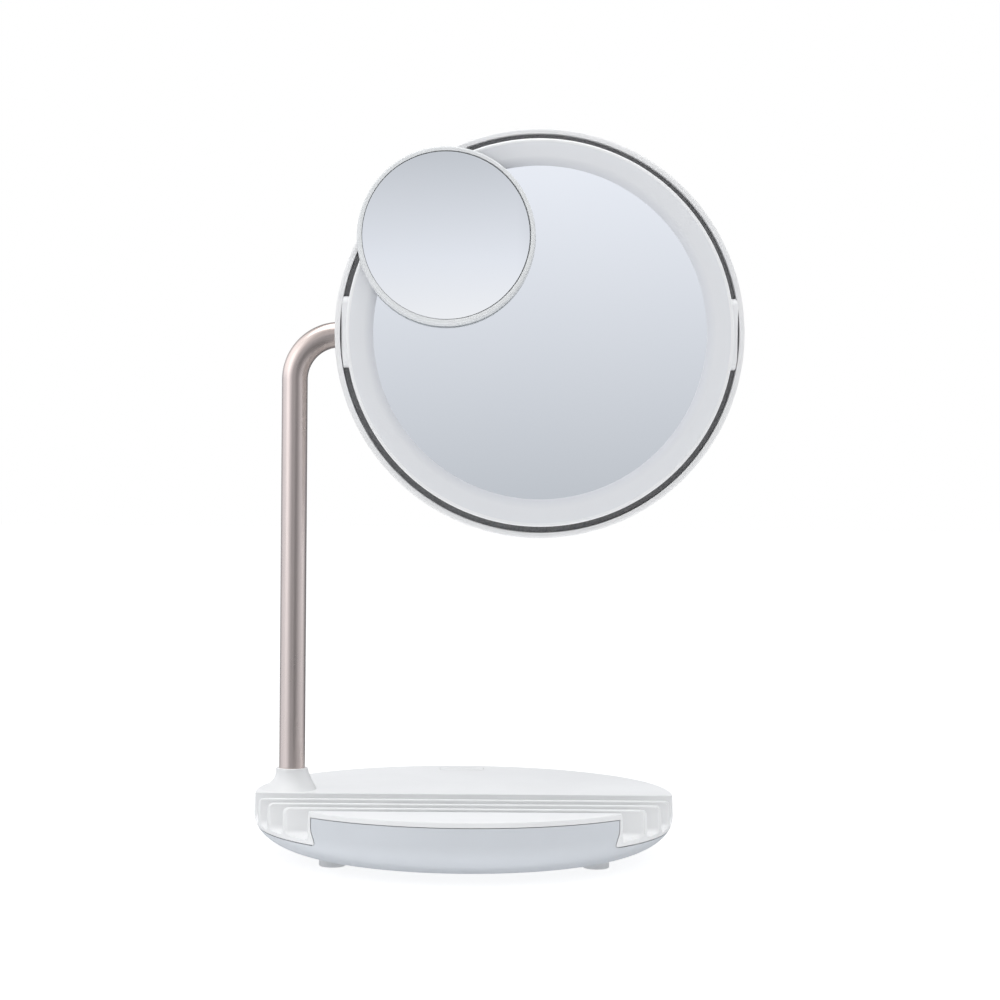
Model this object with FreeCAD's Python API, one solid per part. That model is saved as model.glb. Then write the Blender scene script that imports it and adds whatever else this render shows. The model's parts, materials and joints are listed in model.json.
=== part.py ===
import FreeCAD, Part

import math
import os

# Lighted makeup mirror on a round organizer base, in millimetres.
# X runs to the viewer's right, Y away from the viewer and Z up.
# The origin lies on the table, under the centre of the base.

Vec = FreeCAD.Vector
X = Vec(1, 0, 0)
Y = Vec(0, 1, 0)
Z = Vec(0, 0, 1)

# General clearances
fit = 0.05
seat_gap = 0.15
press_gap = 0.02

# Base: a shallow bowl under a near-vertical rim, split at a level parting plane
base_radius = 102.0
base_height = 30.0
base_wall = 2.4
bowl_radial = 30.0
rim_height = 10.0
rim_draft = 0.3
rim_chamfer = 0.5
parting_drop = 15.2

# Rubber feet, with the shell screws hidden above them
foot_radius = 6.3
foot_height = 3.0
foot_recess = 0.8
foot_round = 0.6
foot_overhang = 1.8
foot_angle = 32.83
boss_radius = 5.0
boss_drop = 2.0
screw_head_radius = 3.0
screw_head_height = 2.0
screw_radius = 1.5
screw_tip_gap = 0.35

# Organizer tray: slots between upright dividers, open at both ends
tray_back_y = -9.0
slot_widths = (18.0, 13.0, 12.1, 10.0)
slot_depth = 12.5
tray_floor_thickness = 2.2
shelf_end_wall = 1.2
divider_thickness = 2.4
divider_groove = 0.8
divider_inset = 0.5
divider_corner = 2.5
divider_edge = 1.0

# Front panel: the raised front of the lower shell, under the shelf's lip
shelf_lip = 2.4
panel_margin = 1.95
panel_slant = 1.8
panel_side_crown = 0.7

# Power button in the top plate, and the electronics below it
button_inset = 14.0
button_width = 23.0
button_depth = 14.0
button_corner = 3.0
button_proud = 0.3
button_edge = 0.25
button_gap = 0.3
button_travel = 1.0
button_flange = 1.5
button_flange_thickness = 1.2
button_stem_radius = 2.5
board_width = 44.0
board_depth = 29.0
board_rear_inset = 7.0
board_drop = 11.3
board_thickness = 1.6
board_post_radius = 3.0
board_post_inset = 5.0
board_screw_radius = 1.2
board_screw_length = 6.0
switch_size = 6.0
switch_height = 3.5
plunger_radius = 1.7
plunger_height = 1.5
port_width = 9.0
port_height = 3.2
port_depth = 9.6
port_setback = 1.0
port_round = 1.5
port_wall = 0.4
ballast_gap = 6.5
ballast_thickness = 3.5
cell_length = 60.0
cell_width = 38.0
cell_thickness = 8.0
cell_round = 2.5
cell_y = 22.0
plug_inset = 10.0
plug_width = 8.0
plug_depth = 6.0
plug_height = 5.6

# Bent arm, its collar on the top plate and its retainer below
arm_inset = 17.5
arm_y = 6.0
arm_diameter = 12.7
arm_wall = 1.2
arm_bend = 19.75
collar_top_radius = 8.0
collar_foot_radius = 14.6
collar_height = 10.4
collar_flare = 9.4
collar_edge = 0.4
arm_socket_radius = 9.5
arm_socket_depth = 8.0
retainer_radius = 10.5
retainer_flange = 2.5
retainer_plug = 9.0
retainer_bore = 4.3
lead_radius = 1.6
lead_rise = 1.5
lead_start_run = 18.0
lead_past_x = 3.5
lead_past_y = 10.0
lead_side_bend = 16.0
lead_foot_bend = 6.0

# Outer ring, fixed to the arm
tilt_height = 224.5
ring_radius = 100.25
ring_wall = 2.65
ring_front = 9.0
ring_rear = 13.0
ring_round = 1.0
flange_reach = 0.6
flange_thickness = 2.0

# Tilting head: bezel, light ring and glass in front, domed shell behind
head_clearance = 0.4
head_gap = 3.0
glass_thickness = 3.0
glass_front = 12.0
glass_bevel = 0.4
glass_gap = 0.2
diffuser_width = 10.7
diffuser_proud = 1.2
diffuser_thickness = 2.5
diffuser_bevel = 0.6
bezel_edge = 1.7
bezel_ledge = 2.0
bezel_ledge_thickness = 1.5
bezel_rear = 1.0
belt_front = 5.0
belt_rear = 7.0
shell_wall = 2.2
dome_edge_inset = 0.7
dome_edge = 9.4
dome_rear = 15.0
carrier_thickness = 2.2
carrier_rim = 1.4
skirt_inset = 1.0
skirt_wall = 2.0
light_board_front = 2.0
light_board_thickness = 1.6
light_board_inset = 0.9
light_ledge = 1.8
light_tab_length = 12.0
light_tab_half = 5.0
chip_count = 24
chip_inset = 5.1
chip_width = 3.5
chip_length = 2.8
chip_height = 1.0
head_post_inset = 21.0
head_post_radius = 4.0
head_post_count = 4
head_screw_radius = 1.4
head_screw_length = 9.0
head_screw_head = 3.0
head_screw_head_height = 1.2

# Pivots: pads that fill the gap beside the head, turning on a hollow axle and a pin
hub_radius = 19.2
hub_front = 11.0
hub_rear = 3.0
hub_corner = 2.0
hub_boss_radius = 9.0
hub_boss_length = 8.2
axle_radius = 4.0
axle_bore = 2.25
axle_reach = 3.2
axle_head_radius = 4.9
axle_head_length = 3.0
pin_head_radius = 6.0
pin_head_height = 1.4
washer_radius = 7.0
washer_thickness = 1.0
clip_radius = 6.0
clip_thickness = 1.2
clip_groove = 0.6
clip_slot = 5.0
pivot_room = 0.5

# Magnifier: a small concave mirror held on the glass by a magnet
magnifier_inset = 17.33
magnifier_angle = 44.72
magnifier_rim = 3.1
magnifier_taper = 0.8
magnifier_rear = 5.5
magnifier_front = 14.2
magnifier_edge = 1.0
spot_radius = 40.3
spot_front = 13.6
spot_edge_thickness = 3.0
spot_curve_radius = 600.0
spot_ledge = 2.0
pad_radius = 14.0
pad_thickness = 1.0
back_boss_radius = 15.5
back_boss_height = 3.2
back_boss_flare = 2.0
back_inset = 0.6
back_spigot = 1.5
magnet_radius = 9.0
magnet_thickness = 3.0
magnet_floor = 1.0
catch_radius = 14.0
catch_thickness = 1.0

# Places worked out from the sizes above
flat_radius = base_radius - bowl_radial
bowl_rise = base_height - foot_height - rim_height
bowl_top = foot_height + bowl_rise
foot_circle = flat_radius + foot_overhang
foot_x = foot_circle * math.cos(math.radians(foot_angle))
foot_y = foot_circle * math.sin(math.radians(foot_angle))
parting_z = base_height - parting_drop
boss_foot = parting_z - boss_drop
plate_under = base_height - base_wall
tray_floor = base_height - slot_depth
tray_under = tray_floor - tray_floor_thickness
divider_count = len(slot_widths) - 1
tray_front_y = tray_back_y - sum(slot_widths) - divider_count * divider_thickness
panel_chord = math.sqrt(base_radius ** 2 - (tray_front_y - base_wall) ** 2)
panel_top_half = panel_chord - panel_margin
panel_foot_half = panel_top_half - panel_slant
button_y = base_radius - button_inset
board_rear_y = base_radius - board_rear_inset
board_front_y = board_rear_y - board_depth
board_top = base_height - board_drop
board_under = board_top - board_thickness
lead_level = board_under - plug_height + lead_rise
ballast_radius = foot_circle - boss_radius - ballast_gap
ballast_under = foot_height + base_wall
ballast_top = ballast_under + ballast_thickness
arm_x = arm_inset - base_radius
axis_z = base_height + tilt_height
ring_x = arm_x + arm_bend + ring_radius
ring_inner = ring_radius - ring_wall
head_centre = Vec(ring_x, arm_y, axis_z)
head_reach = ring_inner - head_clearance
lip_radius = ring_inner - head_gap
belt_radius = math.sqrt(head_reach ** 2 - belt_rear ** 2)
diffuser_front = glass_front + diffuser_proud
diffuser_rear = diffuser_front - diffuser_thickness
diffuser_outer = lip_radius - bezel_edge
diffuser_inner = diffuser_outer - diffuser_width
glass_radius = diffuser_inner - glass_gap
glass_rear = glass_front - glass_thickness
dome_edge_radius = lip_radius - dome_edge_inset
skirt_radius = glass_radius - skirt_inset
light_board_outer = diffuser_outer - light_board_inset
chip_circle = light_board_outer - chip_inset
head_post_circle = glass_radius - head_post_inset
hub_boss_end = lip_radius - hub_boss_length
axle_end = hub_boss_end - axle_reach
carrier_rear = glass_rear - carrier_thickness
light_board_rear = light_board_front + light_board_thickness
clip_place = hub_boss_end - washer_thickness - 2 * fit
arm_radius = arm_diameter / 2
arm_bore = arm_radius - arm_wall
magnifier_radius = spot_radius + magnifier_rim
magnifier_circle = glass_radius - magnifier_inset
magnifier_x = -magnifier_circle * math.cos(math.radians(magnifier_angle))
magnifier_z = magnifier_circle * math.sin(math.radians(magnifier_angle))
magnifier_centre = head_centre + Vec(magnifier_x, -glass_front, magnifier_z)
far = 4 * base_radius


def upright(shape):
    """The same solid, turned outside out where its volume came out negative."""
    if shape.Volume < 0:
        shape.reverse()
    return shape


def flat_face(place, start, *steps):
    """A face inside a closed outline of flat points, put in space by a place function.

    A step is the next point of a straight run, or a pair of points for an arc:
    through the first to the second.
    """
    edges = []
    first = place(start)
    here = first
    for step in steps:
        if isinstance(step[0], tuple):
            there = place(step[1])
            edges.append(Part.Arc(here, place(step[0]), there).toShape())
        else:
            there = place(step)
            edges.append(Part.LineSegment(here, there).toShape())
        here = there
    if not here.isEqual(first, press_gap):
        edges.append(Part.LineSegment(here, first).toShape())
    return Part.Face(Part.Wire(edges))


def turned(centre, axis, start, *steps):
    """A solid of revolution from an outline of (radius, distance along the axis) points."""
    radial = Z if abs(axis.x) > 0.5 else X

    def place(point):
        return centre + radial * point[0] + axis * point[1]

    return upright(flat_face(place, start, *steps).revolve(centre, axis, 360))


def disc(centre, axis, radius, low, high):
    """A round bar about an axis, between two distances along it."""
    return Part.makeCylinder(radius, high - low, centre + axis * low, axis)


def washer(centre, axis, inner, outer, low, high):
    """A flat ring about an axis, between two distances along it."""
    return disc(centre, axis, outer, low, high).cut(disc(centre, axis, inner, low, high))


def block(low, high):
    """A box between its lowest and highest corners."""
    size = high - low
    return Part.makeBox(size.x, size.y, size.z, low)


def rounded_block(width, depth, low, high, corner, middle):
    """An upright block with rounded vertical edges, about a middle point."""
    solid = block(Vec(-width / 2, -depth / 2, low), Vec(width / 2, depth / 2, high))
    solid.translate(Vec(middle.x, middle.y, 0))
    edges = [edge for edge in solid.Edges if abs(edge.tangentAt(edge.FirstParameter).z) > 0.9]
    return solid.makeFillet(corner, edges)


def routed(points, bends):
    """A wire of straight runs with a tangent arc of the given radius at each inner point."""
    edges = []
    here = points[0]
    for before, corner, after, bend in zip(points, points[1:], points[2:], bends):
        back = (before - corner).normalize()
        ahead = (after - corner).normalize()
        inward = (back + ahead).normalize()
        half = back.getAngle(ahead) / 2
        first = corner + back * (bend / math.tan(half))
        last = corner + ahead * (bend / math.tan(half))
        through = corner + inward * (bend / math.sin(half) - bend)
        edges.append(Part.LineSegment(here, first).toShape())
        edges.append(Part.Arc(first, through, last).toShape())
        here = last
    edges.append(Part.LineSegment(here, points[-1]).toShape())
    return Part.Wire(edges)


def rod(path, radius):
    """A round bar of one radius along a wire."""
    start = path.Edges[0]
    point = start.valueAt(start.FirstParameter)
    section = Part.Wire(Part.makeCircle(radius, point, start.tangentAt(start.FirstParameter)))
    return upright(path.makePipeShell([section], True, False))


def foot_places():
    """The four feet, and the shell screws above them."""
    return [Vec(side * foot_x, end * foot_y, 0) for side in (-1, 1) for end in (-1, 1)]


# Base

def bowl_edge(inset):
    """The quarter ellipse of the bowl's side, from its flat bottom up to its rim."""
    centre = Vec(flat_radius, 0, bowl_top)
    side = centre + X * (bowl_radial - inset)
    bottom = centre - Z * (bowl_rise - inset)
    ellipse = Part.Ellipse(side, bottom, centre)
    return Part.ArcOfEllipse(ellipse, 0, math.pi / 2).toShape()


def base_form(inset):
    """The whole base as one solid, drawn in by an inset on every side."""
    bottom = foot_height + inset
    top = base_height - inset
    side = base_radius - inset
    corners = [
        Vec(0, 0, bottom),
        Vec(flat_radius, 0, bottom),
        Vec(side, 0, bowl_top),
        Vec(side - rim_draft, 0, top),
        Vec(0, 0, top),
    ]
    edges = [
        Part.LineSegment(corners[0], corners[1]).toShape(),
        bowl_edge(inset),
        Part.LineSegment(corners[2], corners[3]).toShape(),
        Part.LineSegment(corners[3], corners[4]).toShape(),
        Part.LineSegment(corners[4], corners[0]).toShape(),
    ]
    return upright(Part.Face(Part.Wire(edges)).revolve(Vec(), Z, 360))


def base_slab(low_y, high_y, low_z, high_z):
    """A slab as wide as the base, used to keep or cut a part of its form."""
    return block(Vec(-far, low_y, low_z), Vec(far, high_y, high_z))


def panel_window(gap):
    """The front panel's opening, with slanted bowed sides, less a gap all round."""
    top = base_height - shelf_lip - gap
    middle = (parting_z + top) / 2
    waist = (panel_top_half + panel_foot_half) / 2 + panel_side_crown
    start_y = tray_front_y - base_wall - gap

    def place(point):
        return Vec(point[0], start_y, point[1])

    face = flat_face(
        place,
        (gap - panel_foot_half, parting_z),
        (panel_foot_half - gap, parting_z),
        ((waist - gap, middle), (panel_top_half - gap, top)),
        (gap - panel_top_half, top),
        ((gap - waist, middle), (gap - panel_foot_half, parting_z)),
    )
    return face.extrude(Vec(0, -base_radius, 0))


def arm_collar():
    """The flared collar moulded round the foot of the arm."""
    base = Vec(arm_x, arm_y, base_height)
    spread = collar_foot_radius - collar_top_radius
    turn = 2 * math.atan(spread / collar_flare)
    curve = collar_flare / math.sin(turn)
    flare_top = collar_height - (collar_height - collar_flare) / 2
    drop = flare_top - collar_flare
    half = turn / 2
    through = (
        collar_top_radius + curve * (1 - math.cos(half)),
        flare_top - curve * math.sin(half),
    )
    lean = collar_edge * (1 - math.sqrt(0.5))
    top_round = (
        (collar_top_radius - lean, collar_height - lean),
        (collar_top_radius - collar_edge, collar_height),
    )
    return turned(
        base, Z,
        (0, -base_wall),
        (collar_foot_radius, -base_wall),
        (collar_foot_radius, drop),
        (through, (collar_top_radius, flare_top)),
        (collar_top_radius, collar_height - collar_edge),
        top_round,
        (0, collar_height),
    )


def divider_places():
    """The rear face of each divider, counted from the back of the tray."""
    places = []
    rear = tray_back_y
    for width in slot_widths[:-1]:
        rear = rear - width
        places.append(rear)
        rear = rear - divider_thickness
    return places


def divider_half(rear_y):
    """Half the length of a divider, whose front corners lie on one circle."""
    return math.sqrt((base_radius - divider_inset) ** 2 - (rear_y - divider_thickness) ** 2)


def divider(rear_y):
    """A thin upright plate with rounded top corners and edges, standing in a groove."""
    half = divider_half(rear_y)
    foot = tray_floor - divider_groove
    shoulder = base_height - divider_corner
    lean = divider_corner * (1 - math.sqrt(0.5))

    def place(point):
        return Vec(point[0], rear_y, point[1])

    face = flat_face(
        place,
        (-half, foot),
        (half, foot),
        (half, shoulder),
        ((half - lean, base_height - lean), (half - divider_corner, base_height)),
        (divider_corner - half, base_height),
        ((lean - half, base_height - lean), (-half, shoulder)),
    )
    plate = face.extrude(Vec(0, -divider_thickness, 0))
    rounded = []
    for edge in plate.Edges:
        flat = abs(edge.tangentAt(edge.FirstParameter).y) < 0.5
        if flat and edge.BoundBox.ZMax > tray_floor:
            rounded.append(edge)
    return upright(plate).makeFillet(divider_edge, rounded)


def divider_groove_cut(rear_y):
    """The groove in the tray's floor that a divider stands in, open at both ends."""
    low = tray_floor - divider_groove
    return base_slab(rear_y - divider_thickness - fit, rear_y + fit, low, base_height)


def shelf_end_cut(side):
    """The room past an end of the shelf, where the front slot opens up to the panel's side."""
    ends = sorted((side * (panel_top_half + shelf_end_wall), side * far))
    return block(Vec(ends[0], -far, tray_floor), Vec(ends[1], tray_front_y, far))


def board_posts():
    """The four posts under the top plate that carry the circuit board."""
    half = board_width / 2 - board_post_inset
    rows = (board_front_y + board_post_inset, board_rear_y - board_post_inset)
    return [Vec(side * half, row, 0) for side in (-1, 1) for row in rows]


def port_block(inset, low_y, high_y):
    """The rounded bar of the charging port's mouth, lying along Y."""
    width = port_width - 2 * inset
    height = port_height - 2 * inset
    middle = board_top + port_height / 2
    low = Vec(-width / 2, low_y, middle - height / 2)
    bar = block(low, Vec(width / 2, high_y, middle + height / 2))
    edges = [edge for edge in bar.Edges if abs(edge.tangentAt(edge.FirstParameter).y) > 0.9]
    return bar.makeFillet(port_round - inset, edges)


def base_upper_shell():
    """Top plate, tray, shelf and rim in one moulding, with the bosses under the plate."""
    arm_foot = Vec(arm_x, arm_y, 0)
    hollow = base_form(base_wall)
    rear_room = base_slab(tray_back_y + base_wall, far, parting_z, base_height)
    front_room = base_slab(-far, tray_front_y - base_wall, parting_z, base_height)
    low_room = base_slab(-far, far, parting_z, tray_under)
    room = hollow.common(rear_room.fuse([front_room, low_room]))
    outside = base_form(0)
    rim = [edge for edge in outside.Edges if edge.BoundBox.ZMin > base_height - rim_chamfer]
    outside = outside.makeChamfer(rim_chamfer, rim)
    shell = outside.common(base_slab(-far, far, parting_z, far)).cut(room)
    bosses = [disc(place, Z, boss_radius, boss_foot, plate_under) for place in foot_places()]
    bosses += [disc(place, Z, board_post_radius, board_top, plate_under) for place in board_posts()]
    bosses.append(disc(arm_foot, Z, arm_socket_radius, plate_under - arm_socket_depth, plate_under))
    bosses.append(arm_collar())
    shell = shell.fuse(bosses)
    cuts = [base_slab(tray_front_y, tray_back_y, tray_floor, far), panel_window(0)]
    cuts += [divider_groove_cut(rear) for rear in divider_places()]
    cuts += [shelf_end_cut(side) for side in (-1, 1)]
    pilot_top = tray_floor - divider_groove
    cuts += [disc(place, Z, screw_radius, boss_foot, pilot_top) for place in foot_places()]
    pilot = board_screw_length
    cuts += [disc(place, Z, board_screw_radius, board_top, board_top + pilot) for place in board_posts()]
    cuts.append(disc(arm_foot, Z, arm_radius + fit, 0, far))
    cuts.append(button_block(button_gap, plate_under, base_height))
    cuts.append(port_block(-seat_gap, board_rear_y - port_depth, far))
    return shell.cut(cuts)


def base_lower_shell():
    """The bowl with its raised front panel, screw bosses and foot recesses."""
    skin = base_form(0).cut(base_form(base_wall))
    bowl = skin.common(base_slab(-far, far, 0, parting_z))
    panel = skin.common(panel_window(seat_gap))
    pillars = [disc(place, Z, boss_radius, foot_height, boss_foot) for place in foot_places()]
    bowl = bowl.fuse([panel] + pillars)
    recess_top = foot_height + foot_recess
    head_top = recess_top + screw_head_height + seat_gap
    cuts = []
    for place in foot_places():
        cuts.append(disc(place, Z, foot_radius + seat_gap, 0, recess_top))
        cuts.append(disc(place, Z, screw_head_radius + seat_gap, recess_top, head_top))
        cuts.append(disc(place, Z, screw_radius + seat_gap, head_top, boss_foot))
    return bowl.cut(cuts)


def rubber_foot(place):
    """A round foot with a soft lower edge, seated in its recess."""
    lean = foot_round * (1 - math.sqrt(0.5))
    return turned(
        place, Z,
        (0, 0),
        (foot_radius - foot_round, 0),
        ((foot_radius - lean, lean), (foot_radius, foot_round)),
        (foot_radius, foot_height + foot_recess),
        (0, foot_height + foot_recess),
    )


def shell_screw(place):
    """A pan-head screw up through the lower shell into the upper one."""
    head_low = foot_height + foot_recess + seat_gap
    head_top = head_low + screw_head_height
    head = disc(place, Z, screw_head_radius, head_low, head_top)
    tip = tray_floor - divider_groove - screw_tip_gap
    return head.fuse(disc(place, Z, screw_radius - press_gap, head_top, tip))


def button_block(gap, low, high):
    """The power button's rounded outline, grown by a gap."""
    return rounded_block(
        button_width + 2 * gap, button_depth + 2 * gap, low, high,
        button_corner + gap, Vec(0, button_y, 0),
    )


def power_button():
    """A push button with a flange below the top plate and a stem over the switch."""
    cap_top = base_height + button_proud
    cap = button_block(0, plate_under - button_flange_thickness, cap_top)
    rim = [edge for edge in cap.Edges if edge.BoundBox.ZMin > cap_top - press_gap]
    cap = cap.makeFillet(button_edge, rim)
    flange_top = plate_under - fit
    flange = button_block(button_flange, flange_top - button_flange_thickness, flange_top)
    stem_end = board_top + switch_height + plunger_height + button_travel + seat_gap
    stem = disc(Vec(0, button_y, 0), Z, button_stem_radius, stem_end, flange_top)
    return cap.fuse([flange, stem])


def main_circuit_board():
    """The control board, screwed up against the posts under the top plate."""
    half = board_width / 2
    board = block(Vec(-half, board_front_y, board_under), Vec(half, board_rear_y, board_top))
    holes = [disc(place, Z, board_screw_radius + fit, board_under, board_top) for place in board_posts()]
    return board.cut(holes)


def board_screw(place):
    """A small screw up through the board into its post."""
    head = disc(place, Z, 2 * board_screw_radius, board_under - board_screw_radius, board_under)
    shank_top = board_under + board_screw_length
    return head.fuse(disc(place, Z, board_screw_radius - press_gap, board_under, shank_top))


def tact_switch():
    """The push switch on the board, with its round plunger."""
    half = switch_size / 2
    low = Vec(-half, button_y - half, board_top)
    body = block(low, Vec(half, button_y + half, board_top + switch_height))
    top = board_top + switch_height
    return body.fuse(disc(Vec(0, button_y, 0), Z, plunger_radius, top, top + plunger_height))


def charging_port():
    """The charging socket: a rounded metal mouth with its tongue inside."""
    mouth_y = base_radius - port_setback
    rear = mouth_y - port_depth
    shell = port_block(0, rear, mouth_y)
    shell = shell.cut(port_block(port_wall, rear + port_setback, mouth_y))
    middle = board_top + port_height / 2
    half = port_width / 2 - 2 * port_wall - port_wall
    low = Vec(-half, rear, middle - port_wall)
    return shell.fuse(block(low, Vec(half, mouth_y - port_setback, middle + port_wall)))


def battery():
    """A flat rechargeable cell lying on the ballast plate."""
    return rounded_block(
        cell_length, cell_width, ballast_top, ballast_top + cell_thickness,
        cell_round, Vec(0, cell_y, 0),
    )


def lead_plug():
    """The lead's connector under the board."""
    corner = Vec(plug_inset - board_width / 2, board_front_y + plug_depth, board_under - plug_height)
    return block(corner, corner + Vec(plug_width, plug_depth, plug_height))


# Arm

def arm_tube():
    """The bent tube, coped at its end to the outside of the ring."""
    foot = Vec(arm_x, arm_y, plate_under - arm_socket_depth)
    corner = Vec(arm_x, arm_y, axis_z)
    end = head_centre - X * ring_inner
    path = routed([foot, corner, end], [arm_bend])
    tube = rod(path, arm_radius).cut(rod(path, arm_bore))
    return tube.cut(disc(head_centre, Y, ring_radius, -far, far))


def arm_retainer():
    """A flanged plug in the foot of the tube, held up under the socket."""
    foot = Vec(arm_x, arm_y, plate_under - arm_socket_depth)
    plug = disc(foot, Z, retainer_radius, -retainer_flange, 0)
    plug = plug.fuse(disc(foot, Z, arm_bore - fit, 0, retainer_plug))
    return plug.cut(disc(foot, Z, retainer_bore, -retainer_flange, retainer_plug))


def lamp_lead():
    """The lead from the board's connector, up the arm and through the hollow axle."""
    plug_middle = board_front_y + 1.5 * plug_depth
    start = Vec(plug_inset - board_width / 2, plug_middle, lead_level)
    turn = start - X * lead_start_run
    past_pillar = Vec(-foot_x - lead_past_x, arm_y + lead_past_y, lead_level)
    foot = Vec(arm_x, arm_y, lead_level)
    corner = Vec(arm_x, arm_y, axis_z)
    end = head_centre - X * axle_end
    bends = [lead_side_bend, lead_side_bend, lead_foot_bend, arm_bend]
    return rod(routed([start, turn, past_pillar, foot, corner, end], bends), lead_radius)


# Outer ring and pivots

def outer_ring():
    """A hoop with a rounded front rim and a small inward flange at the rear."""
    lean = ring_round * (1 - math.sqrt(0.5))
    inner = ring_inner
    outer = ring_radius
    flange = ring_inner - flange_reach
    ring = turned(
        head_centre, Y,
        (inner, ring_round - ring_front),
        ((inner + lean, lean - ring_front), (inner + ring_round, -ring_front)),
        (outer - ring_round, -ring_front),
        ((outer - lean, lean - ring_front), (outer, ring_round - ring_front)),
        (outer, ring_rear - ring_round),
        ((outer - lean, ring_rear - lean), (outer - ring_round, ring_rear)),
        (flange, ring_rear),
        (flange, ring_rear - flange_thickness),
        (inner, ring_rear - flange_thickness),
    )
    bore = disc(head_centre, X, axle_radius + press_gap, -far, far)
    recess = disc(head_centre, X, pin_head_radius + press_gap, ring_radius - pin_head_height, far)
    return ring.cut([bore, recess])


def clip_groove_cut(side):
    """The groove near an axle's inner end, for its retaining clip."""
    low = clip_place - clip_thickness - fit
    return washer(head_centre, X * side, axle_radius - clip_groove, far, low, clip_place + fit)


def pivot_axle_left():
    """The hollow axle: its head sits in the arm's end, its shank passes the ring."""
    axis = X * -1
    shank = disc(head_centre, axis, axle_radius, axle_end, ring_radius)
    head = disc(head_centre, axis, axle_head_radius, ring_inner, ring_radius + axle_head_length)
    head = head.cut(disc(head_centre, Y, ring_radius, -far, far))
    bore = disc(head_centre, axis, axle_bore, 0, far)
    return shank.fuse(head).cut([bore, clip_groove_cut(-1)])


def pivot_pin_right():
    """The plain pin, with a head let in flush with the ring's outside."""
    shank = disc(head_centre, X, axle_radius, axle_end, ring_radius)
    head = disc(head_centre, X, pin_head_radius, ring_radius - pin_head_height, ring_radius)
    outside = disc(head_centre, Y, ring_radius, -far, far)
    return shank.fuse(head).common(outside).cut(clip_groove_cut(1))


def friction_washer(side):
    """The washer between a hub and its clip, which holds the head where it is set."""
    high = hub_boss_end - fit
    return washer(head_centre, X * side, axle_radius + fit, washer_radius, high - washer_thickness, high)


def pivot_clip(side):
    """An open retaining clip in its axle's groove."""
    low = clip_place - clip_thickness
    ring = washer(head_centre, X * side, axle_radius - clip_groove + press_gap, clip_radius, low, clip_place)
    half = clip_slot / 2
    slot = block(head_centre + Vec(-far, -half, -clip_radius), head_centre + Vec(far, half, 0))
    return ring.cut(slot)


def pivot_hub(side):
    """A pad that fills the gap beside the head, with a boss through the head's wall."""
    axis = X * side
    bar = disc(head_centre, axis, hub_radius, lip_radius - hub_front, ring_radius)
    low = head_centre + Vec(-far, -hub_front, -far)
    pad = bar.common(block(low, head_centre + Vec(far, hub_rear, far)))
    edges = [edge for edge in pad.Edges if abs(edge.tangentAt(edge.FirstParameter).x) > 0.9]
    corners = [edge for edge in edges if abs(edge.BoundBox.ZMin - axis_z) > hub_corner]
    pad = pad.makeFillet(hub_corner, corners)
    pad = pad.common(Part.makeSphere(head_reach, head_centre))
    pad = pad.cut(disc(head_centre, Y, lip_radius, -far, far))
    boss = disc(head_centre, axis, hub_boss_radius, hub_boss_end, lip_radius + bezel_edge)
    return pad.fuse(boss).cut(disc(head_centre, axis, axle_radius + fit, 0, far))


def hub_hole(side):
    """The hole that a hub's boss needs through the wall of the head."""
    return disc(head_centre, X * side, hub_boss_radius + fit, hub_boss_end, ring_radius)


def pivot_space(side):
    """The room that a hub, its washer and clip need inside the head."""
    low = axle_end - pivot_room
    return disc(head_centre, X * side, hub_boss_radius + pivot_room, low, ring_radius)


# Head

def dome_place(radius, inset):
    """How far the domed back lies behind the tilt axis at a radius, less a wall."""
    rise = dome_rear - dome_edge
    curve = (dome_edge_radius ** 2 + rise ** 2) / (2 * rise)
    return dome_rear - inset - curve + math.sqrt(curve ** 2 - radius ** 2)


def post_places():
    """The screw posts that carry the mirror's carrier, spaced round the head."""
    places = []
    for index in range(head_post_count):
        angle = 2 * math.pi * index / head_post_count
        across = head_post_circle * math.cos(angle)
        places.append(head_centre + Vec(across, 0, head_post_circle * math.sin(angle)))
    return places


def head_back_shell():
    """The domed back, with a belt that closes the ring's gap and posts for the carrier."""
    ledge_inner = light_board_outer - light_ledge
    wall_inner = light_board_outer + fit
    edge_middle = ((belt_radius + dome_edge_radius) / 2, (belt_rear + dome_edge) / 2)
    bulge = (belt_radius - dome_edge_radius) / 5
    shell = turned(
        head_centre, Y,
        (0, dome_place(0, shell_wall)),
        ((ledge_inner / 2, dome_place(ledge_inner / 2, shell_wall)),
         (ledge_inner, dome_place(ledge_inner, shell_wall))),
        (ledge_inner, light_board_rear),
        (wall_inner, light_board_rear),
        (wall_inner, bezel_rear),
        (lip_radius, bezel_rear),
        (lip_radius, belt_front - bezel_rear),
        (belt_radius, belt_front),
        (belt_radius, belt_rear),
        ((edge_middle[0] + bulge, edge_middle[1] + bulge), (dome_edge_radius, dome_edge)),
        ((dome_edge_radius / 2, dome_place(dome_edge_radius / 2, 0)), (0, dome_rear)),
    )
    post_end = dome_place(head_post_circle, shell_wall / 2)
    posts = [disc(place, Y, head_post_radius, -carrier_rear, post_end) for place in post_places()]
    pilot_end = head_screw_length - carrier_thickness
    pilots = [disc(place, Y, head_screw_radius, -carrier_rear, pilot_end) for place in post_places()]
    return shell.fuse(posts).cut(pilots + [hub_hole(-1), hub_hole(1)])


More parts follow.
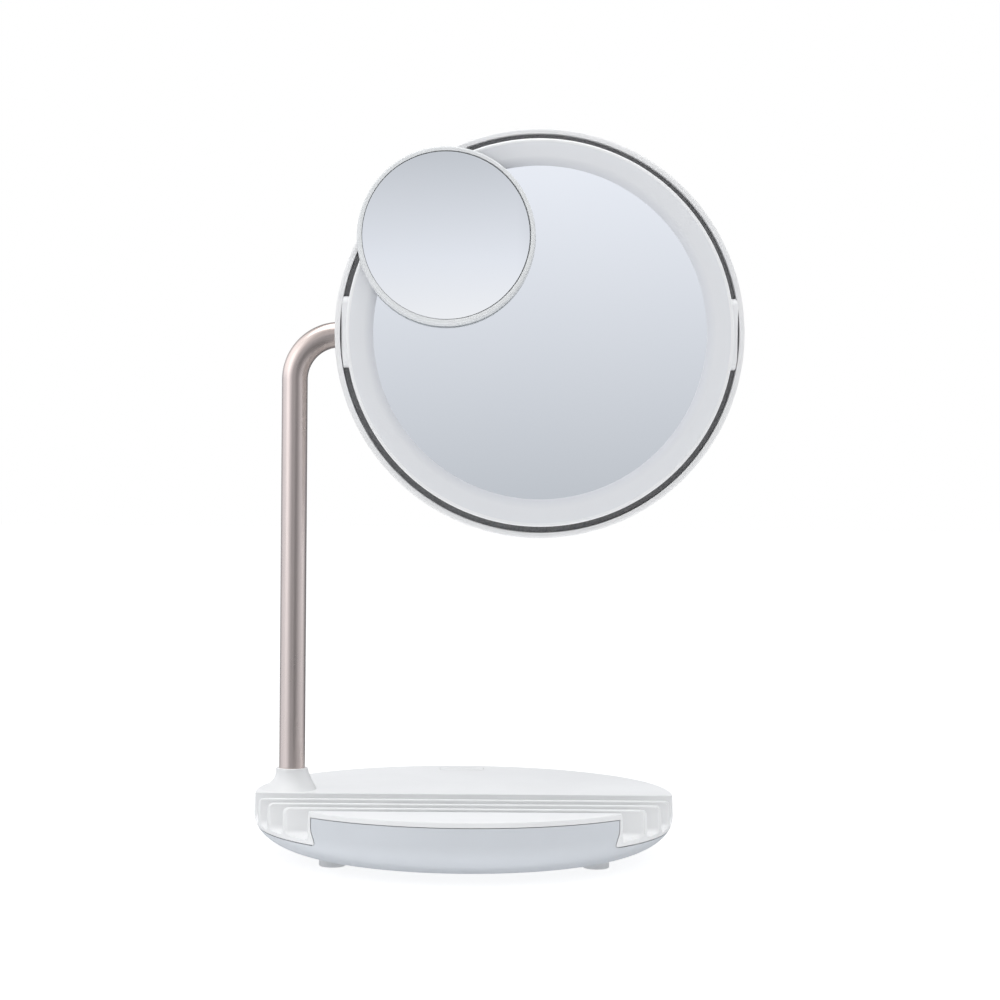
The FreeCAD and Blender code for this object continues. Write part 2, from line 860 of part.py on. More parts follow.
def front_bezel():
    """The rounded white edge round the light ring, with a ledge behind the diffuser."""
    wall_inner = diffuser_outer - fit
    ledge_rear = diffuser_rear - bezel_ledge_thickness
    drop = diffuser_front - glass_front
    turn = (lip_radius - bezel_edge * 0.3, -diffuser_front + drop * 0.3)
    bezel = turned(
        head_centre, Y,
        (diffuser_outer, -diffuser_front),
        (turn, (lip_radius, -glass_front)),
        (lip_radius, bezel_rear),
        (wall_inner, bezel_rear),
        (wall_inner, -ledge_rear),
        (diffuser_outer - bezel_ledge, -ledge_rear),
        (diffuser_outer - bezel_ledge, -diffuser_rear),
        (diffuser_outer, -diffuser_rear),
    )
    return bezel.cut([hub_hole(-1), hub_hole(1)])


def light_diffuser():
    """The frosted light ring round the glass, bevelled on its inner edge."""
    outer = diffuser_outer - fit
    return turned(
        head_centre, Y,
        (diffuser_inner, -glass_front),
        (diffuser_inner, -diffuser_rear),
        (outer, -diffuser_rear),
        (outer, -diffuser_front),
        (diffuser_inner + diffuser_bevel, -diffuser_front),
    )


def mirror_glass():
    """The main mirror, a round plate with a small bevel."""
    return turned(
        head_centre, Y,
        (0, -glass_front),
        (glass_radius - glass_bevel, -glass_front),
        (glass_radius, glass_bevel - glass_front),
        (glass_radius, -glass_rear),
        (0, -glass_rear),
    )


def mirror_carrier():
    """The plate that the glass is bonded to, with a skirt that holds the light board."""
    rim_inner = glass_radius + fit
    rim_outer = rim_inner + carrier_rim
    skirt_inner = skirt_radius - skirt_wall
    carrier = turned(
        head_centre, Y,
        (0, -glass_rear),
        (rim_inner, -glass_rear),
        (rim_inner, -diffuser_rear),
        (rim_outer, -diffuser_rear),
        (rim_outer, -carrier_rear),
        (skirt_radius, -carrier_rear),
        (skirt_radius, light_board_front),
        (skirt_inner, light_board_front),
        (skirt_inner, -carrier_rear),
        (0, -carrier_rear),
    )
    cuts = [catch_disc(press_gap)]
    for place in post_places():
        head_end = head_screw_head_height - glass_rear
        cuts.append(disc(place, Y, head_screw_head + fit, -glass_rear, head_end))
        cuts.append(disc(place, Y, head_screw_radius + fit, -glass_rear, -carrier_rear))
    notch = light_tab_half + fit
    low = head_centre + Vec(-skirt_radius, -carrier_rear, -notch)
    high = head_centre + Vec(-skirt_inner + skirt_wall, light_board_front, notch)
    cuts.append(block(low + Vec(-skirt_wall, 0, 0), high))
    return carrier.cut(cuts)


def head_screw(place):
    """A flat-head screw through the carrier into its post."""
    head_end = head_screw_head_height - glass_rear
    head = disc(place, Y, head_screw_head, -glass_rear, head_end)
    shank_end = head_screw_length - glass_rear
    return head.fuse(disc(place, Y, head_screw_radius - press_gap, head_end, shank_end))


def catch_disc(gap):
    """The round steel plate behind the glass, which the magnifier's magnet holds to."""
    centre = head_centre + Vec(magnifier_x, 0, magnifier_z)
    return disc(centre, Y, catch_radius + gap, -glass_rear, catch_thickness - glass_rear)


def light_board():
    """The ring-shaped board of lamps, with a soldering tab on the arm's side."""
    inner = skirt_radius - skirt_wall
    board = washer(head_centre, Y, inner, light_board_outer, light_board_front, light_board_rear)
    low = head_centre + Vec(-inner - skirt_wall, light_board_front, -light_tab_half)
    high = head_centre + Vec(light_tab_length - inner, light_board_rear, light_tab_half)
    return board.fuse(block(low, high)).cut([pivot_space(-1), pivot_space(1)])


def light_chips():
    """The lamp chips, evenly spaced on their board with none beside a pivot."""
    chips = []
    low = Vec(-chip_length / 2, light_board_front - chip_height, -chip_width / 2)
    for index in range(chip_count):
        chip = block(low, Vec(chip_length / 2, light_board_front, chip_width / 2))
        chip.translate(Vec(chip_circle, 0, 0))
        chip.rotate(Vec(), Y, 360 * (index + 0.5) / chip_count)
        chip.translate(head_centre)
        chips.append(chip)
    return chips


def head_lead():
    """The lead's last stretch, from the hollow axle to the board's soldering tab."""
    tab_end = skirt_radius - skirt_wall - light_tab_length
    return disc(head_centre, X * -1, lead_radius, tab_end, axle_end - pivot_room)


# Magnifier

def magnifier_frame():
    """The tapered rim of the magnifier, with a ledge behind its mirror."""
    front = magnifier_radius - magnifier_taper
    lean = magnifier_edge * (1 - math.sqrt(0.5))
    ledge = spot_front - spot_edge_thickness
    inner = spot_radius + fit
    return turned(
        magnifier_centre, Y * -1,
        (magnifier_radius, magnifier_rear),
        (front, magnifier_front - magnifier_edge),
        ((front - lean, magnifier_front - lean), (front - magnifier_edge, magnifier_front)),
        (inner, spot_front + seat_gap),
        (inner, ledge),
        (inner - spot_ledge, ledge),
        (inner - spot_ledge, magnifier_rear),
    )


def magnifier_mirror():
    """The concave magnifying mirror: a hollow sphere surface on a flat back."""
    rear = spot_front - spot_edge_thickness

    def hollow(radius):
        across = math.sqrt(spot_curve_radius ** 2 - radius ** 2)
        edge = math.sqrt(spot_curve_radius ** 2 - spot_radius ** 2)
        return spot_front - across + edge

    return turned(
        magnifier_centre, Y * -1,
        (0, rear),
        (spot_radius, rear),
        (spot_radius, spot_front),
        ((spot_radius / 2, hollow(spot_radius / 2)), (0, hollow(0))),
    )


def magnifier_back():
    """The domed rear cover, with a spigot in the rim and a pocket for the magnet."""
    edge = magnifier_radius - back_inset
    spigot = spot_radius - spot_ledge
    foot_radius_out = back_boss_radius + back_boss_flare
    foot_place = pad_thickness + back_boss_height
    half = (edge + foot_radius_out) / 2
    rise = magnifier_rear - foot_place
    cover = turned(
        magnifier_centre, Y * -1,
        (0, pad_thickness),
        (back_boss_radius, pad_thickness),
        (foot_radius_out, foot_place),
        ((half, foot_place + rise * 0.3), (edge, magnifier_rear)),
        (spigot, magnifier_rear),
        (spigot, magnifier_rear + back_spigot),
        (0, magnifier_rear + back_spigot),
    )
    floor = pad_thickness + magnet_floor
    pocket_top = magnifier_rear + back_spigot
    return cover.cut(disc(magnifier_centre, Y * -1, magnet_radius + fit, floor, pocket_top))


def magnifier_magnet():
    """The round magnet in its pocket."""
    floor = pad_thickness + magnet_floor
    return disc(magnifier_centre, Y * -1, magnet_radius, floor, floor + magnet_thickness)


def magnifier_pad():
    """The soft pad that keeps the magnifier from scratching the glass."""
    return disc(magnifier_centre, Y * -1, pad_radius, fit, pad_thickness)


nodes = {
    "base_upper_shell": base_upper_shell(),
    "base_lower_shell": base_lower_shell(),
    "rubber_feet": Part.makeCompound([rubber_foot(place) for place in foot_places()]),
    "shell_screws": Part.makeCompound([shell_screw(place) for place in foot_places()]),
    "ballast_plate": disc(Vec(), Z, ballast_radius, ballast_under, ballast_top),
    "battery": battery(),
    "main_circuit_board": main_circuit_board(),
    "board_screws": Part.makeCompound([board_screw(place) for place in board_posts()]),
    "tact_switch": tact_switch(),
    "charging_port": charging_port(),
    "lead_plug": lead_plug(),
    "power_button": power_button(),
    "arm_tube": arm_tube(),
    "arm_retainer": arm_retainer(),
    "lamp_lead": lamp_lead(),
    "outer_ring": outer_ring(),
    "pivot_axle_left": pivot_axle_left(),
    "pivot_pin_right": pivot_pin_right(),
    "friction_washers": Part.makeCompound([friction_washer(side) for side in (-1, 1)]),
    "pivot_clips": Part.makeCompound([pivot_clip(side) for side in (-1, 1)]),
    "pivot_hub_left": pivot_hub(-1),
    "pivot_hub_right": pivot_hub(1),
    "head_back_shell": head_back_shell(),
    "front_bezel": front_bezel(),
    "light_diffuser": light_diffuser(),
    "mirror_glass": mirror_glass(),
    "mirror_carrier": mirror_carrier(),
    "head_screws": Part.makeCompound([head_screw(place) for place in post_places()]),
    "catch_plate": catch_disc(0),
    "light_board": light_board(),
    "light_chips": Part.makeCompound(light_chips()),
    "head_lead": head_lead(),
    "magnifier_frame": magnifier_frame(),
    "magnifier_mirror": magnifier_mirror(),
    "magnifier_back": magnifier_back(),
    "magnifier_magnet": magnifier_magnet(),
    "magnifier_pad": magnifier_pad(),
}
for number, rear in enumerate(divider_places(), start=1):
    nodes["tray_divider_" + str(number)] = divider(rear)

os.makedirs("parts", exist_ok=True)
for name, shape in nodes.items():
    shape.exportStep(os.path.join("parts", name + ".step"))
    print(name, "solids", len(shape.Solids), "volume", round(shape.Volume, 1), "valid", shape.isValid())
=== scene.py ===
# %% [markdown]
# # A lighted makeup mirror on an organizer base
# The object is a round white base with slots for brushes and tubes, a bent metal arm, a ring on the
# arm, and a round lit mirror that tilts in the ring. A small magnifying mirror sits on the glass.
# The first cell loads the solids, which give every place and size.

# %% Load the frame
import json
import math

import bmesh
import bpy
import numpy as np
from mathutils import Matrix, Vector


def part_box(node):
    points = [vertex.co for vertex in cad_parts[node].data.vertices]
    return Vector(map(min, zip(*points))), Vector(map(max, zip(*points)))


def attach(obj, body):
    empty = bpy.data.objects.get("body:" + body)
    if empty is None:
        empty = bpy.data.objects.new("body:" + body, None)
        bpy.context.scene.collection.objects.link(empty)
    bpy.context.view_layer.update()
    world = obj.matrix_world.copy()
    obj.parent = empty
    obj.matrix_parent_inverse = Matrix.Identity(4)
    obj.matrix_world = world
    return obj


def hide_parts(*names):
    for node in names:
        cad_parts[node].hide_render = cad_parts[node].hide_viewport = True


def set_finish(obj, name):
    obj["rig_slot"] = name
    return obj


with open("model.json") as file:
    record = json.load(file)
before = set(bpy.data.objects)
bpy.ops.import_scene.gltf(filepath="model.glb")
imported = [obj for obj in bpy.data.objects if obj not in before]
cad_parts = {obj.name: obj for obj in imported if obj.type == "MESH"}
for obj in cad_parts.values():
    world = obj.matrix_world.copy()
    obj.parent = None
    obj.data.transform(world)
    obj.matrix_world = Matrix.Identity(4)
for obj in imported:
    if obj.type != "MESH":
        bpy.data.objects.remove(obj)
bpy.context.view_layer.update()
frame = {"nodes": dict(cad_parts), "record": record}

# %% [markdown]
# ## Reading places from the solids
# Every visible piece is remade as a smooth surface, so it has to sit exactly where its solid is.
# Copying numbers by hand goes wrong when a size changes, so the places are read from the solids' boxes.

# %% Places and main sizes
mm = 0.001


def box_of(node):
    """Lowest and highest corner of a solid, as two arrays in metres."""
    low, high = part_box(node)
    return np.array(low), np.array(high)


ring_low, ring_high = box_of("outer_ring")
ring_radius = (ring_high[2] - ring_low[2]) / 2
tube_low, tube_high = box_of("arm_tube")
tube_radius = (tube_high[1] - tube_low[1]) / 2
tube_y = (tube_high[1] + tube_low[1]) / 2
tilt_centre = np.array([ring_high[0] - ring_radius, tube_y, ring_high[2] - ring_radius])
arm_foot = np.array([tube_low[0] + tube_radius, tube_y, tube_low[2]])
rim_radius = box_of("base_upper_shell")[1][0]
plate_z = box_of("tray_divider_1")[1][2]
bowl_z = box_of("base_lower_shell")[0][2]
parting_drop = 15.2 * mm
split_z = plate_z - parting_drop
print("tilt centre", tilt_centre.round(4), "ring", round(ring_radius, 4), "rim", round(rim_radius, 4))

# %% [markdown]
# ## Surfaces from grids of points
# Most pieces here are turned, bent or pressed shapes. Each can be written as a grid: one parameter runs
# along a profile, the other along a path or round an axis. A grid joins into four-sided faces by counting
# alone, so the whole mesh is a few array operations. Merging doubles closes the seams and the poles.

# %% Grid helpers
merge_distance = 1e-6
sliver_length = 1e-7
crease_angle = math.radians(38)


def grid_faces(rows, columns, close_rows, close_columns):
    """Corner numbers of a grid's faces: a point, its neighbour in the next column, the one
    diagonal to it, and its neighbour in the next row. A closed direction wraps to its start."""
    row = np.arange(rows if close_rows else rows - 1)
    column = np.arange(columns if close_columns else columns - 1)
    row, column = np.meshgrid(row, column, indexing="ij")
    below = (row + 1) % rows
    beside = (column + 1) % columns
    first = row * columns
    second = below * columns
    quads = [first + column, first + beside, second + beside, second + column]
    return np.stack(quads, axis=-1).reshape(-1, 4)


def grid_map(rows, columns, close_rows, close_columns, along, around):
    """Map coordinates for each face corner, in metres along the rows and round the columns.
    A wrapped face takes the next value past the end, so the map has no backwards strip."""
    row = np.arange(rows if close_rows else rows - 1)
    column = np.arange(columns if close_columns else columns - 1)
    row, column = np.meshgrid(row, column, indexing="ij")
    corners = [(row, column), (row, column + 1), (row + 1, column + 1), (row + 1, column)]
    flat = [np.stack([along[r], around[c]], axis=-1) for r, c in corners]
    return np.stack(flat, axis=-2).reshape(-1, 2)


def tidy_mesh(mesh):
    """Merge doubles, turn every face outwards, and shade smooth except over sharp corners."""
    work = bmesh.new()
    work.from_mesh(mesh)
    bmesh.ops.remove_doubles(work, verts=work.verts, dist=merge_distance)
    bmesh.ops.dissolve_degenerate(work, edges=work.edges, dist=sliver_length)
    bmesh.ops.recalc_face_normals(work, faces=work.faces)
    work.to_mesh(mesh)
    work.free()
    mesh.shade_smooth()
    mesh.set_sharp_from_angle(angle=crease_angle)
    return mesh


def grid_mesh(name, points, close_rows=False, close_columns=True, caps=False, measure=None):
    """A mesh from a grid of points. Caps fill the first and last row with one flat face each.
    A measure is a pair of arrays, metres along the rows and round the columns, for the map."""
    rows, columns = points.shape[:2]
    quads = grid_faces(rows, columns, close_rows, close_columns)
    faces = quads.tolist()
    if caps:
        faces.append(list(range(columns)))
        faces.append(list(range((rows - 1) * columns, rows * columns)))
    mesh = bpy.data.meshes.new(name)
    mesh.from_pydata(points.reshape(-1, 3).tolist(), [], faces)
    if measure:
        layer = mesh.uv_layers.new(name="metres")
        flat = np.zeros((len(mesh.loops), 2))
        flat[:quads.size] = grid_map(rows, columns, close_rows, close_columns, *measure)
        layer.data.foreach_set("uv", flat.ravel())
    return tidy_mesh(mesh)


print("faces of a grid of three by four points", len(grid_faces(3, 4, False, False)))

# %% [markdown]
# ## Rounded corners on an outline
# Moulded plastic has no knife edges: each corner is a small arc that catches a thin highlight. An arc is
# worked out from the two directions that meet in a corner. A support point just beyond each end of the
# arc keeps the flat beside it flat in the shading.

# %% Outline helpers
support_share = 0.3


def rounded_outline(corners, radii, steps=7):
    """A closed outline with an arc in each corner. The arc's ends lie radius / tan(half the corner's
    angle) back from the corner, and its points turn evenly from one end to the other."""
    corners = np.asarray(corners, float)
    previous = np.roll(corners, 1, 0)
    following = np.roll(corners, -1, 0)
    share = np.linspace(0, 1, steps)[:, None]
    runs = []
    for here, before, after, radius in zip(corners, previous, following, radii):
        if radius == 0:
            runs.append(here[None])
            continue
        back = (before - here) / np.linalg.norm(before - here)
        ahead = (after - here) / np.linalg.norm(after - here)
        half = math.acos(np.clip(back @ ahead, -1, 1)) / 2
        reach = radius / math.tan(half)
        middle = here + (back + ahead) / np.linalg.norm(back + ahead) * radius / math.sin(half)
        turn = math.pi - 2 * half
        first = here + back * reach - middle
        last = here + ahead * reach - middle
        arc = (np.sin((1 - share) * turn) * first + np.sin(share * turn) * last) / math.sin(turn)
        beyond = reach + support_share * radius
        runs.append((here + back * beyond)[None])
        runs.append(middle + arc)
        runs.append((here + ahead * beyond)[None])
    return np.concatenate(runs)


def lathe(profile, centre, axis, turns):
    """A profile of (radius, distance along the axis) points swung round an axis:
    centre + axis * distance + radius * (across * cos(angle) + up * sin(angle))."""
    profile = np.asarray(profile, float)
    axis = np.asarray(axis, float)
    across = np.array([1.0, 0.0, 0.0]) if abs(axis[0]) < 0.5 else np.array([0.0, 0.0, 1.0])
    up = np.cross(axis, across)
    angle = np.linspace(0, 2 * math.pi, turns, endpoint=False)
    rim = np.cos(angle)[:, None] * across + np.sin(angle)[:, None] * up
    return centre + profile[:, 1, None, None] * axis + profile[:, 0, None, None] * rim


def rounded_rectangle(width, height, corner, steps=7):
    """A closed rectangle about the origin with arcs of one radius in its corners."""
    x = width / 2
    y = height / 2
    return rounded_outline([(-x, -y), (x, -y), (x, y), (-x, y)], [corner] * 4, steps)


print("sample outline points", len(rounded_rectangle(2, 1, 0.1)))

# %% [markdown]
# ## Putting a piece into the scene
# A piece rides on the moving body that carries it, names the finish it takes, and hides the plain solid
# it stands for. One short function does this the same way for all of them.

# %% Piece helper
outward = np.array([0.0, -1.0, 0.0])
upward = np.array([0.0, 0.0, 1.0])
sideways = np.array([1.0, 0.0, 0.0])
backward = np.array([0.0, 1.0, 0.0])
made = {}


def add_piece(name, mesh, body, finish, *nodes):
    """Link a finished mesh as a piece that rides on a body and stands for the named solids."""
    piece = bpy.data.objects.new(name, mesh)
    bpy.context.scene.collection.objects.link(piece)
    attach(piece, body)
    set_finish(piece, finish)
    if nodes:
        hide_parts(*nodes)
    made[name] = piece
    print(name, "faces", len(mesh.polygons), "finish", finish)
    return piece


print("pieces so far", len(made))

# %% [markdown]
# ## The bent arm
# On the real mirror the arm is half-inch tube, bent through about a quarter turn and anodised a
# pale rose gold. A curve with a bevel would give the same tube, but a swept grid also gives a map in
# metres along and round it, which the drawing lines in the metal need.

# %% Arm tube
arm_bend = 22.2 * mm
arm_drop = 0.85 * mm
arm_tuck = 1.2 * mm
arm_run = tilt_centre[0] - ring_radius + arm_tuck - arm_foot[0]


def arm_line(count_straight, count_bend):
    """The tube's centre line: straight up from the foot, then an arc that ends inside the ring's wall,
    where bend * (1 - cos(angle)) = run. Gives the points, their directions and the length so far."""
    top = tilt_centre[2] - arm_bend - arm_drop
    straight = np.tile(arm_foot, (count_straight, 1))
    straight[:, 2] = np.linspace(arm_foot[2], top, count_straight, endpoint=False)
    angle = np.linspace(0, math.acos(1 - arm_run / arm_bend), count_bend)
    pivot = np.array([arm_foot[0] + arm_bend, arm_foot[1], top])
    flat = np.zeros_like(angle)
    bend = pivot + arm_bend * np.stack([-np.cos(angle), flat, np.sin(angle)], axis=-1)
    points = np.concatenate([straight, bend])
    turning = np.stack([np.sin(angle), flat, np.cos(angle)], axis=-1)
    directions = np.concatenate([np.tile(upward, (count_straight, 1)), turning])
    steps = np.linalg.norm(np.diff(points, axis=0), axis=1)
    return points, directions, np.concatenate([[0], np.cumsum(steps)])


def swept_tube(points, directions, radius, columns=96):
    """A circle carried along a line that stays in one upright plane: each ring of points is
    centre + radius * (backward * cos(angle) + side * sin(angle)), side lying across the line."""
    side = np.cross(directions, backward)
    angle = np.linspace(0, 2 * math.pi, columns, endpoint=False)
    ring = np.cos(angle)[None, :, None] * backward + np.sin(angle)[None, :, None] * side[:, None, :]
    return points[:, None, :] + radius * ring


line, heading, length_so_far = arm_line(40, 33)
tube_grid = swept_tube(line, heading, tube_radius)
way_round = np.linspace(0, 2 * math.pi * tube_radius, tube_grid.shape[1] + 1)
tube_mesh = grid_mesh("bent_arm", tube_grid, caps=True, measure=(length_so_far, way_round))
add_piece("bent_arm", tube_mesh, "stand", "champagne_tube", "arm_tube")
print("arm length", round(length_so_far[-1], 4))

# %% [markdown]
# ## The ring that carries the head
# The ring is a moulded hoop with a soft front edge and a small lip inside its rear edge. A bevelled pipe
# would do from far off, but the front edge is much rounder than the others, so it is turned from one
# closed outline in which each corner has its own rounding.

# %% Outer ring
ring_front = ring_low[1] - tilt_centre[1]
ring_rear = ring_high[1] - tilt_centre[1]
ring_wall = 2.65 * mm
ring_inside = ring_radius - ring_wall
lip = 0.6 * mm
lip_depth = 2 * mm
lip_inside = ring_inside - lip
lip_front = ring_rear - lip_depth
ring_turns = 360
ring_roundings = np.array([0.05, 1.4, 1.0, 0.3, 0.3, 0]) * mm
ring_outline = rounded_outline(
    [(ring_inside, ring_front), (ring_radius, ring_front), (ring_radius, ring_rear),
     (lip_inside, ring_rear), (lip_inside, lip_front), (ring_inside, lip_front)],
    ring_roundings,
)
ring_grid = lathe(ring_outline, tilt_centre, backward, ring_turns)
ring_mesh = grid_mesh("carrying_ring", ring_grid, close_rows=True)
add_piece("carrying_ring", ring_mesh, "stand", "white_ring", "outer_ring")

# %% [markdown]
# ## The pivot's cap
# A round cap on the right of the ring hides the end of the pivot pin. Cap and pin are one turned piece
# of plated steel: a shallow dome, a short side, and the pin that runs in towards the head.

# %% Pivot cap
cap_radius = 6.0 * mm
cap_rise = 0.35 * mm
cap_crown = 0.93
cap_fall = 0.6
cap_edge = ring_radius - 0.05 * mm
cap_foot = ring_radius - 1.2 * mm
pin_radius = 4 * mm
pin_start = ring_radius - 1.4 * mm
pin_end = box_of("pivot_pin_right")[0][0] - tilt_centre[0]
cap_out = np.linspace(0, 1, 9)
cap_dome = np.stack(
    [cap_radius * cap_crown * cap_out, ring_radius + cap_rise * (1 - cap_out ** 2 * cap_fall)], axis=-1)
cap_side = [(cap_radius, cap_edge), (cap_radius, cap_foot)]
pin_side = [(pin_radius, pin_start), (pin_radius, pin_end), (0, pin_end)]
cap_profile = np.concatenate([cap_dome, cap_side, pin_side])
cap_mesh = grid_mesh("pivot_cap", lathe(cap_profile, tilt_centre, sideways, 64))
add_piece("pivot_cap", cap_mesh, "stand", "zinc_steel", "pivot_pin_right")

# %% [markdown]
# ## The tilting head
# From the front the head is three rings inside each other: a rounded white bezel, a frosted light ring
# and the mirror glass. Each is turned from its own outline. Bezel and light ring meet flush, so they read
# as one ring. Towards the glass the light ring falls away in a hollow slope, which shades softly, and ends
# in a thin lip over the glass's edge.

# %% Bezel
bezel_low, bezel_high = box_of("front_bezel")
bezel_radius = (bezel_high[2] - bezel_low[2]) / 2
bezel_rear = bezel_high[1] - tilt_centre[1]
light_low, light_high = box_of("light_diffuser")
face_front = light_low[1] - tilt_centre[1]
face_rear = light_high[1] - tilt_centre[1]
bezel_width = 1.7 * mm
light_outer = bezel_radius - bezel_width
bezel_roundings = np.array([0, 1.25, 0.2, 0]) * mm
bezel_outline = rounded_outline(
    [(light_outer, face_front), (bezel_radius, face_front),
     (bezel_radius, bezel_rear), (light_outer, bezel_rear)],
    bezel_roundings,
)
bezel_grid = lathe(bezel_outline, tilt_centre, backward, ring_turns)
bezel_mesh = grid_mesh("head_bezel", bezel_grid, close_rows=True)
add_piece("head_bezel", bezel_mesh, "head", "white_head", "front_bezel")

# %% Light ring and glass
glass_low, glass_high = box_of("mirror_glass")
glass_front = glass_low[1] - tilt_centre[1]
glass_rear = glass_high[1] - tilt_centre[1]
glass_radius = (glass_high[0] - glass_low[0]) / 2
hair = 0.02 * mm
light_lap = 0.75 * mm
lap_thickness = 0.04 * mm
slope_width = 5.0 * mm
glass_seat = glass_radius + 0.03 * mm
light_inner = glass_radius - light_lap
light_edge = light_outer - hair
lap_rear = glass_front - hair
slope_share = np.linspace(0, 1, 14)
slope_r = light_inner + slope_width * slope_share
slope_y = face_front + (lap_rear - lap_thickness - face_front) * (1 - slope_share) ** 2
light_outline = np.concatenate([
    np.stack([slope_r, slope_y], axis=-1),
    [(light_edge, face_front), (light_edge, face_rear)],
    [(glass_seat, face_rear), (glass_seat, lap_rear), (light_inner, lap_rear)],
])
light_grid = lathe(light_outline, tilt_centre, backward, ring_turns)
light_mesh = grid_mesh("light_ring", light_grid, close_rows=True)
add_piece("light_ring", light_mesh, "head", "frosted_diffuser", "light_diffuser")

glass_edge = 0.1 * mm
glass_flat = glass_radius - 3 * mm
glass_profile = [
    (0, glass_front), (glass_flat, glass_front), (glass_radius - glass_edge, glass_front),
    (glass_radius, glass_front + glass_edge), (glass_radius, glass_rear), (0, glass_rear),
]
glass_mesh = grid_mesh("main_mirror", lathe(glass_profile, tilt_centre, backward, ring_turns))
add_piece("main_mirror", glass_mesh, "head", "silvered_glass", "mirror_glass")

# %% [markdown]
# ## The head's back
# The back is a shallow dome that curls over a round shoulder into a straight belt and goes on inside as
# a hollow shell. A scaled ball would curve too much at the edge. A ball surface through the dome's middle
# and edge, turned together with the shoulder, keeps the curve even.

# %% Domed back of the head
back_low, back_high = box_of("head_back_shell")
dome_y = back_high[1] - tilt_centre[1]
belt_radius = (back_high[2] - back_low[2]) / 2
dome_edge = bezel_radius - 0.7 * mm
dome_edge_y = 9.4 * mm
shoulder_y = 7 * mm
belt_front = 5 * mm
step_rear = 4 * mm
back_front = 1 * mm
hollow_mouth = 91.7 * mm
hollow_foot = 90 * mm
back_wall = 2.2 * mm


def dome(radius):
    """A shallow ball surface through the dome's middle and its edge: middle - (curve - sqrt(curve^2 -
    radius^2)), where curve is the ball's radius."""
    rise = dome_y - dome_edge_y
    curve = (dome_edge ** 2 + rise ** 2) / (2 * rise)
    return dome_y - curve + np.sqrt(curve ** 2 - radius ** 2)


dome_radii = np.linspace(0, dome_edge, 40)
dome_run = np.stack([dome_radii, dome(dome_radii)], axis=-1)
shoulder_turn = np.linspace(0, math.pi / 2, 9)[1:]
shoulder_r = dome_edge + (belt_radius - dome_edge) * np.sin(shoulder_turn)
shoulder_h = shoulder_y + (dome_edge_y - shoulder_y) * np.cos(shoulder_turn)
shoulder = np.stack([shoulder_r, shoulder_h], axis=-1)
inside_back = [
    (belt_radius, belt_front), (bezel_radius, step_rear), (bezel_radius, back_front),
    (hollow_mouth, back_front), (hollow_foot, shoulder_y), (0, dome_y - back_wall),
]
back_profile = np.concatenate([dome_run, shoulder, inside_back])
back_mesh = grid_mesh("head_back", lathe(back_profile, tilt_centre, backward, ring_turns))
add_piece("head_back", back_mesh, "head", "white_head", "head_back_shell")

# %% [markdown]
# ## The dark strip in the gap
# A dark strip round the head fills most of the gap to the ring, so that little light shines through. Its dark
# colour is painted shade, a dark sheet put where the deep gap lies in shadow.
# It is a plain band of four corners, held just clear of the ring, because it turns with the head.

# %% Gap strip
strip_inner = bezel_radius - 0.05 * mm
strip_outer = ring_inside - 0.25 * mm
strip_front = -5 * mm
strip_rear = 4.9 * mm
strip_outline = [
    (strip_inner, strip_front), (strip_outer, strip_front),
    (strip_outer, strip_rear), (strip_inner, strip_rear),
]
strip_grid = lathe(strip_outline, tilt_centre, backward, ring_turns)
strip_mesh = grid_mesh("gap_shade_strip", strip_grid, close_rows=True)
# Painted shade: the strip's dark colour stands for the shadow deep in the gap.
add_piece("gap_shade_strip", strip_mesh, "head", "felt_pad")

# %% [markdown]
# ## Pads beside the head
# Two pads fill the gap between head and ring at the pivots. Each is a short bar with rounded corners whose
# outer face comes as close to the ring as it can without touching it anywhere in the head's tilt. The
# bar's outline is drawn in a little at each step towards the outer face, which rounds the edge.

# %% Pivot pads
pad_low, pad_high = box_of("pivot_hub_right")
pad_front = pad_low[1] - tilt_centre[1]
pad_rear = pad_high[1] - tilt_centre[1]
pad_half = 19.2 * mm
pad_corner = 2.0 * mm
pad_edge = 0.06 * mm
pad_depth = 9 * mm
pad_gap = 0.03 * mm
lip_guard = ring_rear - 2.2 * mm
tilt_degrees = np.linspace(-5, 30, 36)


def pad_outline(inset):
    """A round bar cut flat in front and behind, with its corners rounded: a rectangle whose upper
    and lower ends bow outwards on the bar's circle."""
    depth = pad_rear - pad_front - 2 * inset
    flat = rounded_rectangle(depth, 2 * (pad_half - inset), pad_corner - inset, 8)
    y = flat[:, 0] + (pad_rear + pad_front) / 2
    z = flat[:, 1]
    crown = np.sqrt(np.maximum(pad_half ** 2 - y ** 2, 0)) - pad_half
    return np.stack([y, z + np.sign(z) * crown * np.abs(z) / pad_half], axis=-1)


def pad_reach(y, z):
    """How far out the face may lie: the least sqrt(limit^2 - height^2) on the way through the tilt. The
    height is y * sin(lean) + z * cos(lean). The limit is just inside the ring, or inside its rear lip where
    the depth y * cos(lean) - z * sin(lean) reaches that far back."""
    lean = np.radians(tilt_degrees)
    height = y[..., None] * np.sin(lean) + z[..., None] * np.cos(lean)
    depth = y[..., None] * np.cos(lean) - z[..., None] * np.sin(lean)
    limit = ring_inside - pad_gap - np.where(depth > lip_guard, lip, 0)
    return np.sqrt((limit ** 2 - height ** 2).min(axis=-1))


